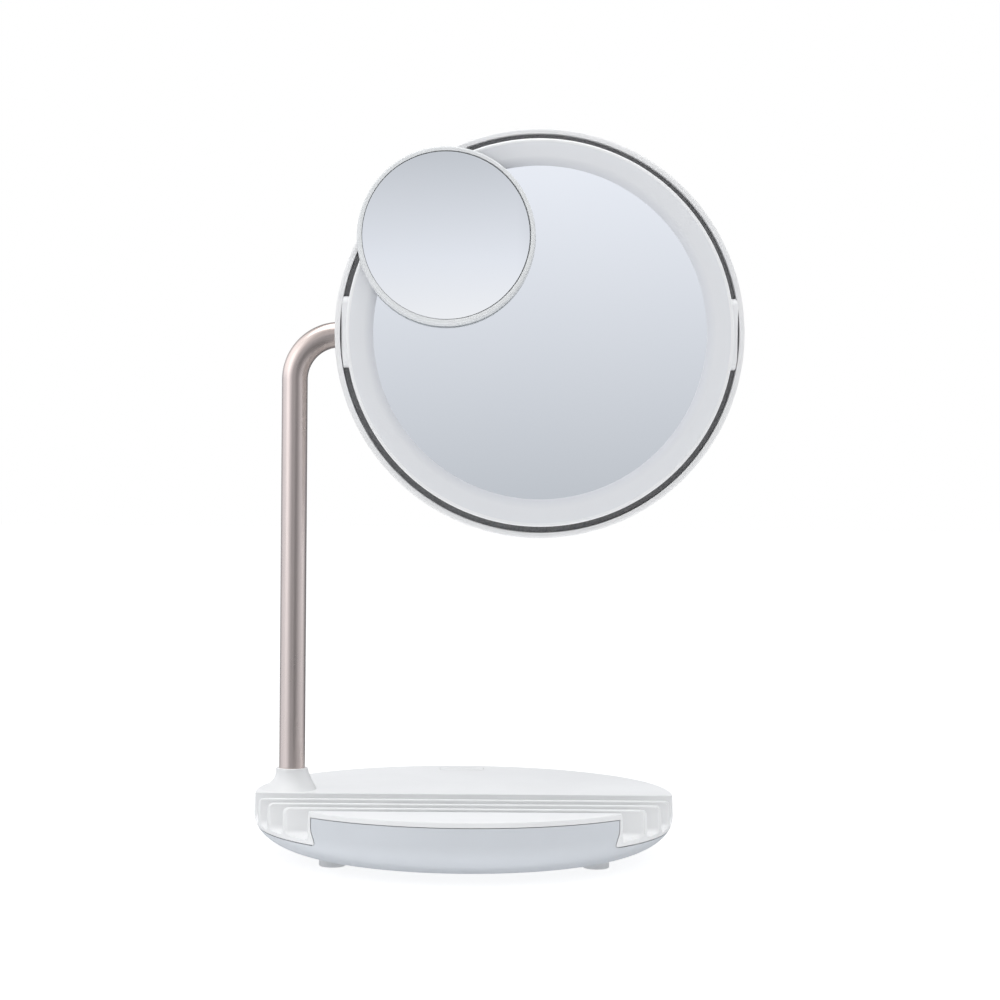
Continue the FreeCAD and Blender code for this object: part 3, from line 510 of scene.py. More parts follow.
def pivot_pad(side):
    """The pad's outlines stacked outwards: from inside the bezel to the outer face, drawn in by a
    quarter circle at the edge, then shrunk to the middle over the outer face."""
    turn = np.linspace(0, math.pi / 2, 7)
    insets = np.concatenate([[0, 0], pad_edge * (1 - np.cos(turn))])
    drops = np.concatenate([[pad_depth, 2 * pad_edge], pad_edge * (1 - np.sin(turn))])
    outlines = np.stack([pad_outline(inset) for inset in insets])
    shrink = np.linspace(1, 0, 9)[1:, None, None]
    middle = np.array([(pad_rear + pad_front) / 2, 0])
    face = middle + (outlines[-1] - middle) * shrink
    flat = np.concatenate([outlines, face])
    drop = np.concatenate([drops, np.zeros(len(shrink))])[:, None]
    reach = side * (pad_reach(flat[..., 0], flat[..., 1]) - drop)
    return tilt_centre + np.stack([reach, flat[..., 0], flat[..., 1]], axis=-1)


for side, word in ((-1, "left"), (1, "right")):
    pad_mesh = grid_mesh("pivot_pad_" + word, pivot_pad(side))
    add_piece("pivot_pad_" + word, pad_mesh, "head", "white_head", "pivot_hub_" + word)

# %% [markdown]
# ## The magnifier
# The magnifier is a tapered white rim round a hollow mirror, with a cover, a magnet and a soft pad behind.
# Its mirror is part of a large ball, seen from inside, which is what enlarges the face. A flat disc would
# reflect the room like the main glass, so the hollow is modelled although it is only a millimetre deep.
# The disc lies a hair low and to the left in its rim, so the seam round it is wider at the upper right.

# %% Magnifier rim and mirror
spot_low, spot_high = box_of("magnifier_mirror")
magnifier_centre = (spot_low + spot_high) / 2
magnifier_centre[1] = tilt_centre[1] + glass_front
spot_radius = (spot_high[0] - spot_low[0]) / 2
spot_front = magnifier_centre[1] - spot_low[1]
spot_rear = magnifier_centre[1] - spot_high[1]
frame_low, frame_high = box_of("magnifier_frame")
frame_radius = (frame_high[0] - frame_low[0]) / 2
frame_front = magnifier_centre[1] - frame_low[1]
frame_rear = magnifier_centre[1] - frame_high[1]
frame_taper = 0.8 * mm
frame_dip = 0.35 * mm
spot_inner = spot_radius + 0.42 * mm
spot_ledge = spot_radius - 2 * mm
spot_sag = np.array([-0.18, 0, -0.15]) * mm
spot_turns = 300
frame_roundings = np.array([0.4, 1.0, 0.25, 0, 0, 0]) * mm
frame_outline = rounded_outline(
    [(frame_radius, frame_rear), (frame_radius - frame_taper, frame_front),
     (spot_inner, frame_front - frame_dip), (spot_inner, spot_rear),
     (spot_ledge, spot_rear), (spot_ledge, frame_rear)],
    frame_roundings,
)
frame_grid = lathe(frame_outline, magnifier_centre, outward, spot_turns)
rim_mesh = grid_mesh("magnifier_rim", frame_grid, close_rows=True)
add_piece("magnifier_rim", rim_mesh, "magnifier", "white_magnifier", "magnifier_frame")

ball_radius = 0.6
spot_radii = np.linspace(0, spot_radius, 40)
ball_depth = np.sqrt(ball_radius ** 2 - spot_radii ** 2)
hollow = spot_front + np.sqrt(ball_radius ** 2 - spot_radius ** 2) - ball_depth
spot_face = np.stack([spot_radii, hollow], axis=-1)
spot_profile = np.concatenate([spot_face, [(spot_radius, spot_rear), (0, spot_rear)]])
spot_grid = lathe(spot_profile, magnifier_centre + spot_sag, outward, spot_turns)
spot_mesh = grid_mesh("magnifier_glass", spot_grid)
add_piece("magnifier_glass", spot_mesh, "magnifier", "silvered_glass", "magnifier_mirror")

# %% [markdown]
# ## The magnifier's back
# Behind the mirror a cover runs in from the rim to a round boss, which holds the magnet. A soft pad on the
# boss keeps it from scratching the glass. Both are turned. The cover's slope is part straight, part square
# curve, so that it leaves the boss gently and meets the rim steeper.

# %% Cover and soft pad
cover_edge = frame_radius - 0.6 * mm
boss_radius = 15.5 * mm
boss_height = 4.2 * mm
boss_floor = 1.0 * mm
cover_straight = 0.4
cover_curved = 0.6
cover_start = boss_radius + 2 * mm
cover_share = np.linspace(0, 1, 24)
cover_r = cover_start + (cover_edge - cover_start) * cover_share
cover_fall = cover_straight * cover_share + cover_curved * cover_share ** 2
cover_y = boss_height + (frame_rear - boss_height) * cover_fall
boss_foot = [
    (0, boss_floor), (boss_radius - 1 * mm, boss_floor), (boss_radius, 1.4 * mm),
    (boss_radius + 0.6 * mm, 3.4 * mm),
]
cover_inside = [(spot_ledge - 0.1 * mm, frame_rear + 0.05 * mm), (0, frame_rear + 1.5 * mm)]
cover_profile = np.concatenate([boss_foot, np.stack([cover_r, cover_y], axis=-1), cover_inside])
cover_mesh = grid_mesh("magnifier_cover", lathe(cover_profile, magnifier_centre, outward, 240))
add_piece("magnifier_cover", cover_mesh, "magnifier", "white_magnifier", "magnifier_back")

felt_radius = 14 * mm
felt_face = 0.05 * mm
felt_edge = 0.3 * mm
felt_profile = [
    (0, felt_face), (felt_radius - felt_edge, felt_face), (felt_radius, felt_face + felt_edge),
    (felt_radius, boss_floor), (0, boss_floor),
]
felt_mesh = grid_mesh("soft_pad", lathe(felt_profile, magnifier_centre, outward, 96))
add_piece("soft_pad", felt_mesh, "magnifier", "felt_pad", "magnifier_pad")

# %% [markdown]
# ## The base: a bowl, a rim and a tray
# The base is two mouldings. The upper one is a round plate with four straight slots cut across it, open at
# both ends, and a window in front for the raised panel of the lower one. A turned body less cutting tools
# is the way the mould itself was milled, so the same steps are taken here: turn the body, then carve it.
# The tools carry the roundings, like a shaped milling cutter, so the fresh edges come out soft.

# %% Carving helpers


def prism(name, outline, place, length, direction):
    """A flat outline carried straight along a direction, with both ends closed."""
    start = place(np.asarray(outline, float))
    grid = np.stack([start, start + np.asarray(direction, float) * length])
    return grid_mesh(name, grid, caps=True)


def carve(mesh, tools, operation):
    """The mesh after a Boolean with each tool mesh in turn. The helpers are removed again."""
    body = bpy.data.objects.new("carved", mesh)
    bpy.context.scene.collection.objects.link(body)
    helpers = [body]
    for tool in tools:
        helper = bpy.data.objects.new("carving_tool", tool)
        bpy.context.scene.collection.objects.link(helper)
        helpers.append(helper)
        step = body.modifiers.new("carve", "BOOLEAN")
        step.operation = operation
        step.solver = "MANIFOLD"
        step.object = helper
    bpy.context.view_layer.update()
    result = bpy.data.meshes.new_from_object(body.evaluated_get(bpy.context.evaluated_depsgraph_get()))
    for helper in helpers:
        bpy.data.objects.remove(helper)
    return result


def quarter(radius, steps=7):
    """A quarter circle about the origin, from straight up round to straight out."""
    turn = np.linspace(0, math.pi / 2, steps)
    return radius * np.stack([np.sin(turn), np.cos(turn)], axis=-1)


print("carving helpers ready")

# %% [markdown]
# ## The upper moulding's body
# Its outside is a bowl that runs up into a nearly upright rim, with a little draft so that it leaves the
# mould. The bowl's side is a quarter ellipse, which both mouldings share, so it gets a function of its own.

# %% Turned body of the upper moulding
bowl_radial = 30 * mm
rim_height = 10 * mm
bowl_rise = plate_z - rim_height - bowl_z
bowl_top = bowl_z + bowl_rise
draft = 0.3 * mm
rim_top = rim_radius - draft
rim_edge = 0.5 * mm
rim_middle = (rim_radius - draft * 0.5, (bowl_top + plate_z) / 2)
split_chamfer = np.array([0.3, 0.25]) * mm
base_middle = np.zeros(3)


def bowl_side(low, high, count):
    """The bowl's quarter ellipse between two heights: radius = flat + radial * sin(turn),
    height = top - rise * cos(turn)."""
    first, last = np.arccos(np.clip((bowl_top - np.array([low, high])) / bowl_rise, -1, 1))
    turn = np.linspace(first, last, count)
    radius = rim_radius - bowl_radial + bowl_radial * np.sin(turn)
    return np.stack([radius, bowl_top - bowl_rise * np.cos(turn)], axis=-1)


split_radius = bowl_side(split_z, split_z, 1)[0, 0]
upper_profile = np.concatenate([
    [(0, split_z), (split_radius - split_chamfer[0], split_z)],
    bowl_side(split_z + split_chamfer[1], bowl_top, 12),
    [rim_middle],
    np.array([rim_top - rim_edge, plate_z - rim_edge]) + quarter(rim_edge)[::-1],
    [(0, plate_z)],
])
upper_body = grid_mesh("upper_body", lathe(upper_profile, base_middle, upward, 300))
print("upper body faces", len(upper_body.polygons))

# %% [markdown]
# ## The slots
# A slot is straight across the plate. Its section has a hollow rounding where walls meet floor and a round
# edge at the top of each wall. Near the rim the tool grows a little in every direction, which rounds the
# mouth of the slot. The front slot also widens at its ends, where it opens up to the side of the panel.

# %% Slot sizes
tray_back = -9.0 * mm
tray_front = -69.3 * mm
floor_z = plate_z - 12.5 * mm
dividers = [box_of("tray_divider_" + str(number)) for number in (1, 2, 3)]
slot_rears = [tray_back] + [low[1] for low, high in dividers]
slot_fronts = [high[1] for low, high in dividers] + [tray_front]
slot_high = plate_z + 20 * mm
cove = 2.4 * mm
fin_edge = 0.9 * mm
plate_edge = 0.5 * mm
wall_mouth = (rim_radius - 1.0 * mm, 0.8 * mm, 0.5 * mm)
floor_mouth = (rim_radius - 1.3 * mm, 1.0 * mm, 0.9 * mm)
floor_band = floor_z + 1.01 * cove
front_widening = 0.75
widening_start = 71.0 * mm
widening_run = 1.8 * mm
end_run = np.linspace(0.62, 1.04, 172) * rim_radius
slot_run = np.concatenate([-end_run[::-1], [0], end_run])
print("slot widths", [round(rear - front, 4) for rear, front in zip(slot_rears, slot_fronts)])

# %% Slot tools


def slot_section(width, rear_edge, front_edge):
    """A slot's outline of (distance from the rear wall, height) points: down the rear wall with a round
    top edge, round the hollow corner to the floor, and the same in mirror image up the front wall."""
    above_rear = [(-rear_edge, slot_high)]
    top_rear = np.array([-rear_edge, plate_z - rear_edge]) + quarter(rear_edge)
    foot_rear = np.array([cove, floor_z + cove]) - quarter(cove)[::-1]
    foot_front = np.array([width - cove, floor_z + cove]) + quarter(cove) * [1, -1]
    top_front = np.array([width + front_edge, plate_z - front_edge]) + quarter(front_edge)[::-1] * [-1, 1]
    above_front = [(width + front_edge, slot_high)]
    return np.concatenate([above_rear, top_rear, foot_rear, foot_front, top_front, above_front])


def rounding(radius, first, reach, depth):
    """How far a quarter circle has fallen at each radius: depth * (1 - sqrt(1 - share^2)), with the
    share running from nought at the first radius to one a reach further out."""
    share = np.clip((radius - first) / reach, 0, 1)
    return depth * (1 - np.sqrt(1 - share ** 2))


def slot_tool(name, rear, front, edges, widen):
    """The slot's section carried along X. Each point moves outwards with its distance from the middle
    of the base: the floor drops and the walls part by the rounding of the mouth."""
    width = rear - front
    section = slot_section(width, *edges)
    across = section[None, :, 0]
    level = section[None, :, 1]
    x = slot_run[:, None] + np.zeros_like(across)
    share = np.clip((np.abs(x) - widening_start) / widening_run, 0, 1)
    stretch = 1 + widen * share ** 2 * (3 - 2 * share)
    y = rear - np.where(across > 0, across * stretch, across)
    radius = np.hypot(x, y)
    parting = rounding(radius, *wall_mouth)
    y = y + np.where(across > width / 2, -parting, parting)
    low = level < floor_band
    z = level - np.where(low, rounding(radius, *floor_mouth), 0)
    return grid_mesh(name, np.stack([x, y, z], axis=-1), caps=True)


slot_tools = []
for number, (rear, front) in enumerate(zip(slot_rears, slot_fronts), start=1):
    edges = (plate_edge if number == 1 else fin_edge, plate_edge if number == 4 else fin_edge)
    slot_tools.append(slot_tool("slot_tool", rear, front, edges, front_widening if number == 4 else 0))
print("slots", len(slot_tools), "faces in a tool", len(slot_tools[0].polygons))

# %% [markdown]
# ## Round ends of the dividers
# The dividers stop flush with the rim and their top corners are rounded. A turned ring with a hollow
# quarter-round section does that for all of them in one cut, if it is kept to the stretch of the tray.

# %% Corner tool
corner = 2.6 * mm
corner_start = np.array([rim_top - corner, plate_z - corner])
corner_out = rim_radius + 8 * mm
corner_high = plate_z + 5 * mm
corner_ring = np.concatenate([
    corner_start + quarter(corner, 10),
    [(corner_out, corner_start[1]), (corner_out, corner_high), (corner_start[0], corner_high)],
])
corner_body = grid_mesh("corner_ring", lathe(corner_ring, base_middle, upward, 300), close_rows=True)
stretch_front = tray_front - 3 * mm
stretch_back = tray_back - 6 * mm
stretch_low = plate_z - 6 * mm
stretch_high = plate_z + 9 * mm
far_left = -1.3 * rim_radius
far_across = 2.6 * rim_radius


def across_x(flat):
    """An outline of (y, z) points set up at the far left, to be carried across the base."""
    return np.stack([np.full(len(flat), far_left), flat[:, 0], flat[:, 1]], axis=-1)


tray_stretch = [
    (stretch_front, stretch_low), (stretch_back, stretch_low),
    (stretch_back, stretch_high), (stretch_front, stretch_high),
]
stretch_tool = prism("tray_stretch", tray_stretch, across_x, far_across, sideways)
corner_tool = carve(corner_body, [stretch_tool], "INTERSECT")
print("corner tool faces", len(corner_tool.polygons))

# %% [markdown]
# ## The panel's window
# The panel's window has slightly curved sides: upright near the top, drawn in below, with a small
# rounding where the side seam turns into the level seam. The panel itself is cut later to the same outline
# less a gap, so the outline is a function with the gap as its first parameter.

# %% Window tool
wall = 2.4 * mm
panel_chord = math.sqrt(rim_radius ** 2 - (tray_front - wall) ** 2)
panel_top_half = panel_chord - 1.95 * mm
panel_slant = 1.9 * mm
panel_slant_share = 0.67
panel_corner = 1.3 * mm
panel_top = plate_z - wall
window_foot = -1.5 * mm


def panel_outline(gap, low):
    """The front panel's outline of (x, z) points: level top and foot, and sides that run upright from the
    top, then ease in by the slant: half width = top - slant * (1 - s^2 * (3 - 2 * s)), where s is the share
    of the height over two thirds. Close to the foot a quarter circle turns out into the level seam."""
    height = np.linspace(split_z + low, panel_top - gap, 40)
    share = np.clip((height - split_z) / (panel_slant_share * (panel_top - split_z)), 0, 1)
    half = panel_top_half - gap - panel_slant * (1 - share ** 2 * (3 - 2 * share))
    half = half + rounding(split_z + panel_corner - height, 0, panel_corner, panel_corner)
    right = np.stack([half, height], axis=-1)
    return np.concatenate([right, right[::-1] * [-1, 1]])


def in_front(flat):
    """An outline of (x, z) points set up behind the tray's front wall."""
    return np.stack([flat[:, 0], np.full(len(flat), tray_front - wall), flat[:, 1]], axis=-1)


window_tool = prism("window_tool", panel_outline(0, window_foot), in_front, rim_radius, outward)
print("window half width", round(panel_top_half, 4))

# %% [markdown]
# ## Button hole and port
# Button and charging port pass through plain holes with rounded corners, a little wider than the pieces
# in them. The tools start inside the wall and end well outside it, so that no thin skin is left.

# %% Holes and carving
button_low, button_high = box_of("power_button")
button_middle = (button_low + button_high) / 2
button_size = np.array([23.0, 14.0]) * mm
button_gap = np.array([0.15, 0.03]) * mm
button_corner = 3 * mm
button_start = plate_z - 4 * mm
button_reach = 20 * mm
button_hole = rounded_rectangle(*(button_size + 2 * button_gap), button_corner)
port_low, port_high = box_of("charging_port")
port_middle = (port_low + port_high) / 2
port_gap = 0.3 * mm
port_corner = 1.6 * mm
port_reach = 30 * mm
port_size = port_high - port_low + port_gap
port_hole = rounded_rectangle(port_size[0], port_size[2], port_corner)


def on_plate(flat):
    """An outline of (x, y) points set up under the top plate, about the button's middle."""
    low = np.full(len(flat), button_start)
    return np.stack([flat[:, 0] + button_middle[0], flat[:, 1] + button_middle[1], low], axis=-1)


def at_rear(flat):
    """An outline of (x, z) points set up inside the rear rim, about the charging port."""
    inside = np.full(len(flat), port_low[1])
    return np.stack([flat[:, 0] + port_middle[0], inside, flat[:, 1] + port_middle[2]], axis=-1)


button_tool = prism("button_tool", button_hole, on_plate, button_reach, upward)
port_tool = prism("port_tool", port_hole, at_rear, port_reach, backward)
cutters = slot_tools + [corner_tool, window_tool, button_tool, port_tool]
upper_mesh = carve(upper_body, cutters, "DIFFERENCE")
upper_piece = add_piece(
    "base_top", upper_mesh, "stand", "white_shell",
    "base_upper_shell", "tray_divider_1", "tray_divider_2", "tray_divider_3")

# %% [markdown]
# ## Flat shading on a carved shape
# A Boolean leaves large flats beside narrow roundings, and plain smooth shading would bend the flats'
# reflections. A Weighted Normal modifier lets the large faces keep their direction, and the narrow ones
# lean to them. The tools have already rounded the edges, so no bevel is needed here.

# %% Shading of the upper moulding
flat_crease = math.radians(40)
upper_mesh.shade_smooth()
upper_mesh.set_sharp_from_angle(angle=flat_crease)
flat_faces = upper_piece.modifiers.new("flat_shading", "WEIGHTED_NORMAL")
flat_faces.keep_sharp = True
print("shading set on", upper_piece.name)

# %% [markdown]
# ## The arm's collar
# The plate flares up into a collar that holds the foot of the arm. Towards the rim the flare is wide and
# hollow, and towards the middle of the plate it is short and straight, so it is not a plain turned shape:
# the foot's radius and the curve of the flare both change round the arm.

# %% Collar on the upper moulding
collar_top = box_of("base_upper_shell")[1][2] - plate_z
collar_radius = 7.9 * mm
collar_edge = 0.4 * mm
collar_root = -2 * mm
collar_bore = tube_radius + 0.05 * mm
collar_limit = rim_top - 0.45 * mm
collar_seat = np.array([arm_foot[0], arm_foot[1], plate_z])
foot_mean = 14.2
foot_swing = 2.0
power_mean = 2.1
power_swing = 0.7
row_crowding = 1.5


def collar_grid(rows=26, columns=160):
    """The flare: radius = top + (foot - top) * (1 - share)^power over the share of the height, where foot
    and power both vary with the cosine of the angle round the arm. No point passes the rim."""
    angle = np.linspace(0, 2 * math.pi, columns, endpoint=False)[None]
    share = np.linspace(0, 1, rows)[:, None] ** row_crowding
    foot = (foot_mean - foot_swing * np.cos(angle)) * mm
    power = power_mean - power_swing * np.cos(angle)
    radius = collar_radius + (foot - collar_radius) * (1 - share) ** power
    level = (collar_top - collar_edge) * share + np.zeros_like(angle)
    lid = quarter(collar_edge)[::-1] + np.array([collar_radius - collar_edge, collar_top - collar_edge])
    bore = np.array([(collar_bore, collar_top), (collar_bore, collar_root)])
    turned = np.concatenate([lid[1:], bore])[:, :, None] + np.zeros_like(angle)
    radius = np.concatenate([radius[:1], radius, turned[:, 0]])
    level = np.concatenate([np.full_like(angle, collar_root), level, turned[:, 1]])
    x = collar_seat[0] + radius * np.cos(angle)
    y = collar_seat[1] + radius * np.sin(angle)
    keep = np.minimum(1, collar_limit / np.hypot(x, y))
    return np.stack([x * keep, y * keep, collar_seat[2] + level], axis=-1)


collar_mesh = grid_mesh("arm_collar", collar_grid(), close_rows=True)
add_piece("arm_collar", collar_mesh, "stand", "white_shell")

# %% [markdown]
# ## The lower moulding with its front panel
# The lower shell is a bowl. In front, part of its wall goes on upwards as a panel that fills the window of
# the upper shell, which is why fine seams run round it. The panel is the bowl's own outer surface carried
# on to the lip, cut to the window's outline less a narrow gap. A Bevel modifier softens the fresh edges.

# %% Lower moulding
seam = 0.3 * mm
panel_gap = 0.32 * mm
panel_foot = -1.2 * mm
bowl_turns = 256
ledge_radius = rim_radius - 8 * mm
lower_inside = split_z - 4 * mm
lower_profile = np.concatenate([
    [(0, bowl_z)], bowl_side(bowl_z, split_z - seam, 28),
    [(ledge_radius, split_z - seam), (0, lower_inside)],
])
lower_body = grid_mesh("lower_body", lathe(lower_profile, base_middle, upward, bowl_turns))
panel_wall = bowl_side(split_z + window_foot, bowl_top, 14)
panel_outer = np.concatenate([panel_wall, [rim_middle, (rim_top, plate_z)]])
panel_ring = np.concatenate([panel_outer, panel_outer[::-1] - [wall, 0]])
panel_body = grid_mesh("panel_body", lathe(panel_ring, base_middle, upward, bowl_turns), close_rows=True)
panel_tool = prism("panel_tool", panel_outline(panel_gap, panel_foot), in_front, rim_radius, outward)
panel_mesh = carve(panel_body, [panel_tool], "INTERSECT")
lower_mesh = carve(lower_body, [panel_mesh], "UNION")
lower_mesh.shade_smooth()
lower_piece = add_piece("base_bowl", lower_mesh, "stand", "white_panel", "base_lower_shell")
soft_edges = lower_piece.modifiers.new("soft_edges", "BEVEL")
soft_edges.width = 0.3 * mm
soft_edges.segments = 2
soft_edges.limit_method = "ANGLE"
soft_edges.angle_limit = math.radians(32)
soft_edges.harden_normals = True
soft_edges.use_clamp_overlap = True
soft_edges.miter_outer = "MITER_ARC"

# %% [markdown]
# ## The button
# The button is a thin plate with rounded corners and a rounded upper edge. A plate like that is a stack of
# outlines, drawn in at the top and full size below, with a skirt that reaches down into the hole.

# %% Power button
button_edge = 0.06 * mm
button_proud = 0.05 * mm
button_skirt = 2.2 * mm
button_face = plate_z + button_proud
button_turn = quarter(button_edge)
insets = np.concatenate([button_edge - button_turn[:, 0], [0]])
levels = np.concatenate([button_edge - button_turn[:, 1], [button_skirt]])
layers = []
for inset, level in zip(insets, levels):
    flat = rounded_rectangle(*(button_size - 2 * inset), button_corner - inset)
    depth = np.full(len(flat), button_face - level)
    layers.append(np.stack([flat[:, 0] + button_middle[0], flat[:, 1] + button_middle[1], depth], axis=-1))
button_mesh = grid_mesh("push_button", np.stack(layers), caps=True)
add_piece("push_button", button_mesh, "button", "white_button", "power_button")

# %% [markdown]
# ## The feet
# The feet are four short studs of soft rubber with a round edge and a shallow hollow underneath. One
# profile is turned at each of the four places, and the four meshes are joined into one piece.

# %% Feet
feet_high = box_of("rubber_feet")[1]
foot_radius = 6.3 * mm
foot_edge = 0.8 * mm
foot_hollow = 0.15 * mm
hollow_radius = 4.2 * mm
sole_radius = 4.6 * mm
foot_x = feet_high[0] - foot_radius
foot_y = feet_high[1] - foot_radius
foot_profile = np.concatenate([
    [(0, foot_hollow), (hollow_radius, foot_hollow), (sole_radius, 0)],
    np.array([foot_radius - foot_edge, foot_edge]) + quarter(foot_edge) * [1, -1],
    [(foot_radius, feet_high[2]), (0, feet_high[2])],
])
feet_work = bmesh.new()
for across, along in ((-1, -1), (-1, 1), (1, -1), (1, 1)):
    place = np.array([across * foot_x, along * foot_y, 0])
    foot_mesh = grid_mesh("foot", lathe(foot_profile, place, upward, 64))
    feet_work.from_mesh(foot_mesh)
    bpy.data.meshes.remove(foot_mesh)
feet_mesh = bpy.data.meshes.new("table_feet")
feet_work.to_mesh(feet_mesh)
feet_work.free()
feet_mesh.shade_smooth()
feet_mesh.set_sharp_from_angle(angle=crease_angle)
add_piece("table_feet", feet_mesh, "stand", "grey_rubber", "rubber_feet")

# %% [markdown]
# ## Finishes
# White moulded plastic is never one flat colour. It has a very fine grain from the mould, a gloss that
# changes a little from place to place, and a faint drift of tone. Each finish below starts from the same
# small helpers, which give noise in the object's own metres, so the grain keeps its size on every piece.

# %% Finish helpers
micron = 0.000001
noise_low = 0.3
noise_high = 0.7
grain_strength = 0.3


def new_finish(name):
    """A fresh node material, with its shader, ready for a pattern."""
    finish = bpy.data.materials.new(name)
    finish.use_nodes = True
    tree = finish.node_tree
    shader = tree.nodes["Principled BSDF"]
    return finish, tree, shader


def metres(tree, stretch=(1, 1, 1), output="Object", shift=(0, 0, 0)):
    """Coordinates in metres, stretched along each axis by a factor and then shifted."""
    coordinates = tree.nodes.new("ShaderNodeTexCoord")
    mapping = tree.nodes.new("ShaderNodeMapping")
    mapping.inputs["Scale"].default_value = stretch
    mapping.inputs["Location"].default_value = shift
    tree.links.new(coordinates.outputs[output], mapping.inputs["Vector"])
    return mapping.outputs["Vector"]


def noise(tree, vector, scale, detail=3.0):
    """Cloudy noise of a given number of spots per metre."""
    node = tree.nodes.new("ShaderNodeTexNoise")
    node.inputs["Scale"].default_value = scale
    node.inputs["Detail"].default_value = detail
    tree.links.new(vector, node.inputs["Vector"])
    return node.outputs["Fac"]


def ramp(tree, value, *stops):
    """A colour ramp through (place, colour) stops."""
    node = tree.nodes.new("ShaderNodeValToRGB")
    band = node.color_ramp
    while len(band.elements) < len(stops):
        band.elements.new(0.5)
    for element, (place, colour) in zip(band.elements, stops):
        element.position = place
        element.color = (*colour, 1)
    tree.links.new(value, node.inputs["Fac"])
    return node.outputs["Color"]


def remap(tree, value, source, target=(0, 1)):
    """A number carried from one range over to another, and held at its ends."""
    node = tree.nodes.new("ShaderNodeMapRange")
    node.inputs["From Min"].default_value = source[0]
    node.inputs["From Max"].default_value = source[1]
    node.inputs["To Min"].default_value = target[0]
    node.inputs["To Max"].default_value = target[1]
    tree.links.new(value, node.inputs["Value"])
    return node.outputs["Result"]


def vary_gloss(tree, shader, value, gloss):
    """Roughness between two limits, led by noise, most of which lies between the low and high marks."""
    tree.links.new(remap(tree, value, (noise_low, noise_high), gloss), shader.inputs["Roughness"])


def grain(tree, shader, value, depth):
    """Surface relief of a given depth in metres."""
    node = tree.nodes.new("ShaderNodeBump")
    node.inputs["Strength"].default_value = grain_strength
    node.inputs["Distance"].default_value = depth
    tree.links.new(value, node.inputs["Height"])
    tree.links.new(node.outputs["Normal"], shader.inputs["Normal"])


print("finish helpers ready")

# %% [markdown]
# ## White mouldings
# The mouldings differ a little in tone and gloss: the panel is cooler and darker than the shell, and the
# ring and the magnifier's rim are more matt. One function makes them all, so they stay of one family.

# %% White finishes
plastic_bend = 1.46
drift_scale = 28
gloss_scale = 140
mould_grain_scale = 700
mould_grain_depth = 1.5 * micron
tone_low = 0.35
tone_high = 0.65
darker_share = 0.985
lighter_share = 1.01
satin = (0.30, 0.38)
matt = (0.36, 0.44)
dim_shine = 0.22


def moulded_white(name, colour, gloss=satin, shine=0.5):
    """White moulding: faint drift of tone, satin gloss that varies, and mould grain."""
    finish, tree, shader = new_finish(name)
    place = metres(tree)
    colour = np.array(colour)
    darker = colour * darker_share
    lighter = np.minimum(colour * lighter_share, 1)
    tone = ramp(tree, noise(tree, place, drift_scale), (tone_low, darker), (tone_high, lighter))
    tree.links.new(tone, shader.inputs["Base Color"])
    vary_gloss(tree, shader, noise(tree, place, gloss_scale), gloss)
    grain(tree, shader, noise(tree, place, mould_grain_scale, 2), mould_grain_depth)
    shader.inputs["IOR"].default_value = plastic_bend
    shader.inputs["Specular IOR Level"].default_value = shine
    return finish


finishes = {
    "white_shell": moulded_white("shell_white", (0.895, 0.90, 0.905)),
    "white_panel": moulded_white("panel_white", (0.675, 0.703, 0.742)),
    "white_ring": moulded_white("ring_white", (0.90, 0.90, 0.905), matt, dim_shine),
    "white_head": moulded_white("head_white", (0.92, 0.925, 0.935)),
    "white_magnifier": moulded_white("magnifier_white", (0.82, 0.835, 0.845), matt, dim_shine),
    "white_button": moulded_white("button_white", (0.875, 0.88, 0.885), (0.34, 0.42)),
}
print("white finishes", sorted(finishes))

# %% [markdown]
# ## Frosted light ring
# The light ring is frosted acrylic over a row of lamps, which are off. Its tone carries painted shade: darker
# beside the glass, where the hollow slope lies in shade, and lighter out towards the bezel. A texture painted
# by hand could show that, but the distance from the head's middle gives it directly, and it stays right if a
# size changes.

# %% Frosted acrylic
# Painted shade: the inner tone is darker than the acrylic's own, for the shade beside the glass.
frost_painted_shade = np.array([0.72, 0.735, 0.775])
frost_outer = np.array([0.83, 0.842, 0.868])
frost_gloss = (0.42, 0.52)
frost_grain_scale = 900
frost_grain_depth = 3 * micron


def frosted():
    """Frosted acrylic: the tone follows the distance from the middle of the head, from a painted shade at the
    glass to the acrylic's own tone at the bezel, with a fine frosted grain."""
    finish, tree, shader = new_finish("frosted_acrylic")
    reach = tree.nodes.new("ShaderNodeVectorMath")
    reach.operation = "LENGTH"
    flat = metres(tree, (1, 0, 1), "Object", (-tilt_centre[0], 0, -tilt_centre[2]))
    tree.links.new(flat, reach.inputs[0])
    band = remap(tree, reach.outputs["Value"], (glass_radius, light_outer))
    tone = ramp(tree, band, (0.0, frost_painted_shade), (0.35, frost_outer * 0.98), (1.0, frost_outer))
    tree.links.new(tone, shader.inputs["Base Color"])
    place = metres(tree)
    vary_gloss(tree, shader, noise(tree, place, gloss_scale), frost_gloss)
    grain(tree, shader, noise(tree, place, frost_grain_scale, 2), frost_grain_depth)
    shader.inputs["IOR"].default_value = plastic_bend
    return finish


finishes["frosted_diffuser"] = frosted()
print("frosted from", round(glass_radius, 4), "to", round(light_outer, 4))

# %% [markdown]
# ## Mirrors and metal tube
# A mirror is silver behind clear glass. As a surface it is a metal with almost no roughness, and the
# faintest haze of wiping marks keeps it from looking like a computed one. The tube is anodised aluminium,
# drawn through a die, so it has fine lines along it. They follow the tube's own map, round the bend too.

# %% Silver and rose gold
silver_dull = np.array([0.945, 0.96, 0.975])
silver_clean = np.array([0.96, 0.97, 0.98])
haze_scale = 9
wipe_scale = 60
mirror_gloss = (0.012, 0.03)
# Painted shade: the magnifier's silver is a darker copy, for its dimmer reflection.
magnifier_shade_share = 0.93
gold_dark = (0.495, 0.427, 0.40)
gold_light = (0.54, 0.467, 0.438)
line_stretch = (0.02, 1, 1)
line_scale = 3200
line_depth = 1.2 * micron
tube_drift_scale = 22
tube_gloss = (0.24, 0.32)


